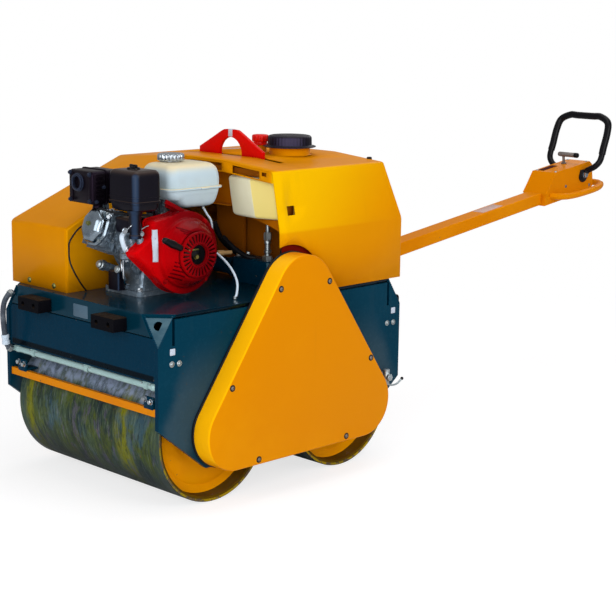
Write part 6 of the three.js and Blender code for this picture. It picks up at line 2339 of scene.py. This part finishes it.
    def starter(self) -> None:
        """The recoil starter: its cup, finished black as painted shade, its nut and slotted ring."""
        centre, high = (0, *self.crank), self.ring_x
        y, z = self.crank
        back = turned([(0, 212), (62, 212), (64.6, 220)], Axis.X, centre, 48)
        hub = [(0, 226), (9, 226), (11, 223), (11, 220), (26, 218), (28, 216), (28, 213)]
        # painted shade: the cup is finished black so the starter's centre reads dark
        self.own("starter_cup", joined([back, turned(hub, Axis.X, centre, 40)]), Paints.rubber)
        nut = hexagon_bolt(12, 6, 8).at((224, y + 6, z - 8), LEFT)
        dog = slab((222, y - 22, z + 10), (228, y + 16, z + 15), 2)
        self.own("starter_nut", joined([nut, dog]), Paints.brass)
        slots, half_slot = 28, 0.045
        spokes = np.arange(slots) * 2 * math.pi / slots
        edges = np.sort(np.concatenate([spokes - half_slot, spokes + half_slot]))
        radii = np.array([65, 59, 47, 36, 31.5, 30])[:, None]
        xs = np.array([high - 1.2, high, high, high, high, high - 2.4])[:, None]
        face = Axis.X.grid(y + radii * np.cos(edges), z + radii * np.sin(edges), xs)
        ring = lattice(face, wrap=True, skip=lambda i, j: i in (1, 2) and j % 2 == 0)
        self.own("starter_ring_face", ring, Paints.red, "recoil_ring", wall=2.4)
        outer = turned([(65, high - 1.2), (65.6, high - 3), (65.6, 238.3)], Axis.X, centre, 96)
        inner = turned([(30, high - 2.4), (29.4, high - 6), (29.4, 238)], Axis.X, centre)
        self.own("starter_ring_skirt", joined([outer, inner]), Paints.red, wall=1.6)

    def rope(self) -> None:
        """The rope guide, the grip and the rope between them."""
        y, z = self.crank[0] - 64, self.crank[1] + 25
        guide = turned([(10, 203), (10, 232), (8, 236), (4.5, 237), (3.6, 233)], Axis.X, (0, y, z), 24)
        self.own("rope_guide", guide, Paints.red)
        t, lean = np.linspace(-1, 1, 33), math.radians(-26)
        size = (1 - np.abs(t) ** 5) ** 0.5 * (0.86 + 0.14 * np.cos(3.1 * t) ** 2)
        line = np.array([249.6, -340, 727]) + 39 * t[:, None] * np.array(
            [0, math.cos(lean), math.sin(lean)]
        )
        grip = swept(line, rounded_rectangle(22, 19, 8, 6), np.maximum(size, 0.12))
        self.own("starter_grip_moulding", grip, Paints.grip, "starter_grip", sharp=60)
        rope = tube([(234, y, z), (243, -318, 716), (248, -328, 722)], 2.2, 20, 8)
        self.own("starter_rope", rope, Paints.hose)

    def lines(self) -> None:
        """Fuel and drain hoses, throttle cable and the clips at their ends."""
        fuel = [
            (132, -130, 802.1), (136, -118, 779), (139, -105, 759), (138, -102, 730), (132, -120, 704),
            (128, -153, 690),
        ]
        drain = [
            (118, -153, 684), (132, -114, 683), (184, -103, 657), (233, -107, 627), (269, -121, 599),
            (290, -141, 574), (297, -154, 561.2),
        ]
        cable = [
            (-30.5, -402, 763), (-36, -440, 749), (-42, -468, 715), (-44, -471, 690), (-42, -470, 658),
            (-33, -462, 627), (-50, -430, 592), (-68, -396, 561),
        ]
        for node, finish, radius, route in (
            ("fuel_hose", Paints.hose, 3.2, fuel), ("drain_hose", Paints.hose, 3.5, drain),
            ("throttle_cable", Paints.rubber, 2.4, cable),
        ):
            self.own(f"{node}_finished", tube(route, radius, 90), finish, node, sharp=60)
        clip = turned([(3.6, 0), (5.2, 1), (5.2, 7), (3.8, 8)], Axis.Z, count=18)
        clips = joined([clip.shifted((297, -154, 559)), clip.at((132, -129, 794), UP)])
        self.own("hose_clips", clips, Paints.zinc)

    def build(self) -> None:
        """Builds the engine from its block outwards."""
        self.block()
        self.head()
        self.ignition()
        self.exhaust()
        self.air_cleaner()
        self.carburettor()
        self.governor()
        self.tank()
        self.fan()
        self.rope()
        self.lines()


@dataclass
class Hydraulics(Assembly):
    """The pump behind the engine with its fittings, and the hoses that leave it."""

    deck: float = 558.3

    def build(self) -> None:
        """Builds the pump body, shaft cover, plated fittings, hoses and the sensor's plug."""
        rings = [
            (0, 0, 0, 0, 12, self.deck), (0, 0, 0, 0, 13, 622), (2, 3, 3, 3, 12, 629),
            (8, 10, 9, 9, 9, 632)
        ]
        body = [
            moulded(fitted((62, 222, 42, 112), rings), count=8),
            turned(
                [(24, -30), (24, 44), (29, 45), (29, 58), (33, 59), (33, 66)], Axis.X, (0, 66, 596), 40
            ),
            turned([(0, 223), (18, 223), (20, 221), (20, 214)], Axis.X, (0, 76, 594), 32),
        ]
        self.own("pump_casting", joined(body), Paints.frame, "pump", sharp=40)
        spots = [(x, y, 631.6) for x in (78, 206) for y in (58, 98)]
        self.own("pump_bolts", placed(hexagon_bolt(11, 7, 8), spots, UP), Paints.zinc)
        x, y = 200, 62
        stack = [
            (9, 647), (9, 655), (11.4, 657), (11.4, 662), (9, 664), (8.6, 682), (10.6, 684), (10.6, 690),
            (8, 694),
        ]
        fitting = [
            hexagon_bolt(28, 17).shifted((x, y, 631)), turned(stack, Axis.Z, (x, y, 0), 28),
            hexagon_bolt(21, 22).shifted((x, y, 694)),
            turned([(6, 714), (6.6, 716), (6.6, 736), (5, 740), (0, 740)], Axis.Z, (x, y, 0), 24),
            hexagon_bolt(22, 12).at((221, 76, 594), LEFT),
            tube([(232, 76, 594), (246, 74, 596), (256, 66, 606), (258, 60, 622)], 8, 30, 16),
        ]
        self.own("pump_fittings", joined(fitting), Paints.zinc, sharp=34)
        hoses = [
            tube(
                [(60, -22, 737), (60, 6, 687), (64, 50, 648), (86, 84, 620), (104, 100, 608)], 8.5, 60,
                16, 0.04
            ),
            tube([(100, -24, 700), (112, 10, 664), (130, 40, 640), (150, 60, 634)], 7, 50, 14),
            tube([(258, 60, 622), (258, 66, 660), (240, 96, 700), (200, 108, 740)], 8, 50, 16, 0.04),
        ]
        self.own("pressure_hoses", joined(hoses), Paints.rubber, sharp=60)
        plug = turned(
            [(0, 0), (7, 0), (8, 1), (8, 22), (6, 24), (6, 50), (4, 52), (0, 52)], Axis.Z, count=20
        )
        self.own("sensor_plug", plug.at((120, -64, 658), (0.1, 1, -0.04)), Paints.tan)


# ------------------------------------------------------------------ drawbar


@dataclass
class Drawbar(Assembly):
    """The hinged bar with its console, hand bow, travel hoop and throttle handle.

    Its own places are (across, along the bar, above the bar's line) from the hinge pin.
    """

    body: Body = field(default=Body.BAR, kw_only=True)
    pivot: tuple[float, float] = (517.0, 519.0)
    angle: float = 8.0
    width: float = 104.0
    hoop_at: tuple[float, float] = (1342.0, 45.0)
    hoop_half: float = 116.0
    hoop_high: float = 229.0
    lean: float = 28.0
    lever_at: tuple[float, float, float] = (0.0, 1320.0, 122.4)

    def on_bar(self, surface: Surface) -> Surface:
        """Turns a form from the bar's own places into the layout's."""
        return surface.moved(leaned(math.radians(self.angle)), (0, *self.pivot))

    def own(
        self, name: str, surface: Surface, finish: Finish, *nodes: str, **options: Any
    ) -> bpy.types.Object:
        """Makes one piece from a form in the bar's own places."""
        return super().own(name, self.on_bar(surface), finish, *nodes, **options)

    def hoop(self) -> None:
        """The travel hoop: one bent tube with ribbed grips, side cheeks and bright pivots."""
        a = math.radians(self.lean)
        w, q, h = self.width / 2, self.hoop_half, self.hoop_high
        s0, n0 = self.hoop_at
        half = [
            (w + 15, 8), (w + 19, 18), (q - 16, 36), (q, 62), (q, 110), (q, h - 60), (q - 10, h - 20),
            (q - 48, h), (q - 80, h),
        ]
        shape = [(-x, v) for x, v in half] + half[::-1]
        path = smooth_path([(x, s0 + v * math.sin(a), n0 + v * math.cos(a)) for x, v in shape], 260)
        sleeve = path[38:222]
        ribbed = swept(sleeve, circle(13.4, 20), 1 - 0.05 * (np.arange(len(sleeve)) % 2))
        bent = joined([swept(path, circle(11.2, 20)), ribbed])
        self.own("hoop_tube", bent, Paints.grip, "travel_hoop", sharp=60)
        foot = arc((s0, n0 - 4), 24, math.pi * 1.06, 1.94 * math.pi, 20)
        outline = np.array([
            (s0 - 24, n0 - 4), *foot, (s0 + 24, n0 + 4), (s0 + 20, n0 + 18), (s0 - 12, n0 + 20),
        ])
        cheeks, bolts = [], []
        for side in SIDES:
            low, high = sorted((side * (w + 0.4), side * (w + 7.4)))
            cheeks.append(pressed(outline, rounded_steps(low, high, 1.4, 3), Axis.X))
            ring = [
                (19, side * (w + 7)), (19, side * (w + 10)), (15, side * (w + 12)), (11, side * (w + 12))
            ]
            cheeks.append(turned(ring, Axis.X, (0, s0, n0), 32))
            bolts.append(hexagon_bolt(19, 8, 12).at((side * (w + 11.5), s0, n0), (side, 0, 0)))
        self.own("hoop_cheeks", joined(cheeks), Paints.rubber)
        self.own("hoop_bolts", joined(bolts), Paints.chrome)

    def console(self) -> None:
        """The console's lever slot, its screws and the seam welds."""
        w = self.width / 2
        self.own("console_slots", slab((-38, 1190, 85.6), (-12, 1276, 87.6), 2), Paints.slot_paint)
        spots = [(x, s, 86) for x in (-42, 42) for s in (1190, 1384)]
        self.own("console_screws", placed(button_screw(5, 3), spots, UP), Paints.zinc)
        screw = button_screw(6, 3)
        sides = [screw.at((k * w, s, n), (k, 0, 0)) for k in SIDES for s, n in ((1236, 22), (1384, -4))]
        self.own("console_side_screws", joined(sides), Paints.worn)
        beads = []
        for side in SIDES:
            seam = smooth_path([(side * w, s, n) for s, n in ((1112, 18), (1144, 50), (1177, 85.6))], 60)
            foot = np.linspace((side * 34.5, 1101, -22), (side * 34.5, 1101, 20), 40)
            beads += [bead(seam, 2.0, 0.2, 1.7), bead(foot, 2.6, 0.2, 1.7)]
        self.own("console_welds", joined(beads), Paints.bar)

    def lever(self) -> None:
        """The throttle lever: a plated stem and a knurled cross grip with a black end."""
        stem = turned([(10, 86.4), (10, 91), (5.2, 92), (5.2, 122)], Axis.Z, (-15, 1320, 0), 20)
        grip = [(0, -36), (7.4, -36), (8.4, -34), (8.4, 36), (7.4, 38)]
        rings = [[(8.2, x), (9.2, x + 1), (9.2, x + 2.4), (8.2, x + 3.4)] for x in range(-30, 34, 7)]
        parts = [turned(profile, Axis.X, self.lever_at, 24) for profile in (grip, *rings)]
        self.own("throttle_lever", joined([stem, *parts]), Paints.worn, "throttle_handle")
        end = turned([(8, 36), (9.6, 37), (9.6, 49), (8, 51.5), (0, 51.5)], Axis.X, self.lever_at, 24)
        self.own("throttle_lever_end", end, Paints.grip)

    def bracket(self) -> None:
        """The hinge bracket on the frame, with its pin's washers and bolts."""
        self.shop.softened("drawbar_bracket", Paints.frame, Body.CHASSIS, 1.6)
        washer = [(17, 58), (17, 60.4), (13, 60.6), (13, 61.4), (0, 61.4)]
        pins = [turned([(r, k * x) for r, x in washer], Axis.X, (0, *self.pivot), 28) for k in SIDES]
        spots = [(side * 60, 487.4, z) for side in SIDES for z in (516, 534)]
        pins.append(placed(hexagon_bolt(13, 7, 9), spots, REARWARD))
        self.shop.piece("drawbar_pin_ends", joined(pins), Paints.zinc, Body.CHASSIS)

    def build(self) -> None:
        """Builds the bracket, the bar, its head and its fittings."""
        self.bracket()
        self.soften("drawbar", Paints.bar, 6.0, 30, 4)
        self.soften("console_head", Paints.bar, 3.0, 30, 3)
        self.own("blank_bar_label", slab((-24, 778, 21.8), (24, 892, 22.6), 0.4), Paints.faded_label)
        self.hoop()
        self.console()
        self.lever()


# ------------------------------------------------------------------ studio


@dataclass
class Studio:
    """Pale floor, soft lamps and the camera.

    Attributes:
        origin: The row-frame place of the layout's own origin, in metres.
        eye: The camera's place in the layout's millimetres.
        yaw: How far it stands round from the front, in degrees.
        pitch: How far it looks down.
        roll: How far it is tilted.
        lens: Its focal length.
        aim: Where the lamps look, in metres.
        span: Half the floor's width, in metres.
    """

    origin: Array
    eye: tuple[float, float, float] = (3417.7, -2987.8, 1375.5)
    yaw: float = 44.98
    pitch: float = 11.27
    roll: float = 0.75
    lens: float = 89.57
    aim: tuple[float, float, float] = (0.0, 0.2, 0.45)
    span: float = 30.0

    def camera(self) -> None:
        """Places the camera: right, up and back directions from yaw, pitch and roll."""
        a, e, r = (math.radians(v) for v in (self.yaw, self.pitch, self.roll))
        back = np.array([math.sin(a) * math.cos(e), -math.cos(a) * math.cos(e), math.sin(e)])
        right = np.array([math.cos(a), math.sin(a), 0.0])
        up = np.cross(back, right)
        right, up = math.cos(r) * right + math.sin(r) * up, math.cos(r) * up - math.sin(r) * right
        data = bpy.data.cameras.new("camera")
        data.lens = self.lens
        data.sensor_width = 36.0
        data.clip_end = 60.0
        camera = linked("camera", data)
        turn = Matrix(np.stack([right, up, back], axis=1).tolist()).to_4x4()
        camera.matrix_world = Matrix.Translation(Vector(np.array(self.eye) * MM + self.origin)) @ turn
        bpy.context.scene.camera = camera

    def lamp(self, name: str, place: Place, size: float, power: float) -> None:
        """Adds one square soft lamp that looks at the machine's middle.

        Args:
            name: The lamp's name.
            place: Where it stands, in metres from the layout's origin.
            size: Its side in metres.
            power: Its power in watts.
        """
        data = bpy.data.lights.new(name, "AREA")
        data.size = size
        data.energy = power
        where = Vector(np.array(place) + self.origin)
        turn = (where - Vector(np.array(self.aim) + self.origin)).to_track_quat("Z", "Y").to_matrix()
        linked(name, data).matrix_world = Matrix.Translation(where) @ turn.to_4x4()

    def floor(self) -> None:
        """Adds a pale floor that keeps the machine's shadow and is white to the camera elsewhere.

        The share of plain white rises with the distance from the machine.
        """
        s = Shader("studio_floor", self.origin)
        plain = s.node("ShaderNodeBsdfDiffuse", inputs={"Color": (0.80, 0.80, 0.81)})
        shaded = s.node("ShaderNodeBsdfDiffuse", inputs={"Color": (0.40, 0.40, 0.41)})
        glow, white = (
            s.node("ShaderNodeEmission", inputs={"Color": (1.0, 1.0, 1.0), "Strength": strength})
            for strength in (0.72, 1.0)
        )
        lit = s.node("ShaderNodeAddShader", inputs={0: shaded.outputs[0], 1: glow.outputs[0]})
        reach = Value(s.tree, s.vector("LENGTH", s.place).outputs["Value"])
        path = s.node("ShaderNodeLightPath").outputs["Is Camera Ray"]
        mix = {0: s.between(reach, 1.8, 3.4), 1: lit.outputs[0], 2: white.outputs[0]}
        seen = s.node("ShaderNodeMixShader", inputs=mix)
        both = s.node("ShaderNodeMixShader", inputs={0: path, 1: plain.outputs[0], 2: seen.outputs[0]})
        s.node("ShaderNodeOutputMaterial", inputs={0: both.outputs[0]})
        mesh = bpy.data.meshes.new("floor")
        corners = [(-1, -1, 0), (1, -1, 0), (1, 1, 0), (-1, 1, 0)]
        mesh.from_pydata((np.array(corners) * self.span).tolist(), [], [(0, 1, 2, 3)])
        mesh.materials.append(s.material)
        linked("floor", mesh)

    def world(self) -> None:
        """White to the camera, softer in reflections and softest as light."""
        world = bpy.data.worlds.new("studio")
        world.use_nodes = True
        tree = world.node_tree
        tree.nodes.clear()
        rays = tree.nodes.new("ShaderNodeLightPath").outputs
        seen = Value(tree, rays["Is Camera Ray"]).larger(Value(tree, rays["Is Transmission Ray"]))
        strength = 0.3 + seen * 0.7 + Value(tree, rays["Is Glossy Ray"]) * 0.1
        background = tree.nodes.new("ShaderNodeBackground")
        background.inputs["Color"].default_value = (1, 1, 1, 1)
        tree.links.new(strength.socket, background.inputs["Strength"])
        output = tree.nodes.new("ShaderNodeOutputWorld")
        tree.links.new(background.outputs[0], output.inputs[0])
        bpy.context.scene.world = world

    def build(self) -> None:
        """Builds the whole studio."""
        bpy.context.scene.view_settings.view_transform = "Standard"
        self.camera()
        self.floor()
        self.world()
        for name, place, size, power in (
            ("key", (4.6, 0.4, 2.6), 2.8, 84), ("front", (0.4, -4.8, 2.4), 2.8, 60),
            ("fill", (3.2, -3.6, 1.5), 2.4, 68), ("top", (0.4, 0.6, 4.6), 3.4, 60),
            ("back", (-1.2, 4.8, 3.2), 2.6, 36),
        ):
            self.lamp(name, place, size, power)


def main() -> None:
    """Loads the frame and builds the studio and each sub-assembly in order."""
    logging.basicConfig(level=logging.INFO, format="%(name)s %(message)s")
    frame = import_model()
    low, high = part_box("drum_front")
    rear_low, rear_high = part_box("drum_rear")
    origin = np.array([(low.x + high.x) / 2, (low.y + high.y + rear_low.y + rear_high.y) / 4, 0.0])
    shop = Workshop(frame["nodes"], origin)
    Studio(origin).build()
    for part in (
        Drum(shop, "drum_front", -256.0, body=Body.FRONT_DRUM),
        Drum(shop, "drum_rear", 256.0, body=Body.REAR_DRUM),
        ChainSide(shop),
        Chassis(shop),
        WaterGear(shop),
        Hood(shop),
        RoofFittings(shop),
        Engine(shop),
        Hydraulics(shop),
        Drawbar(shop),
    ):
        LOG.info("building %s", type(part).__name__)
        part.build()


if __name__ == "__main__":
    main()
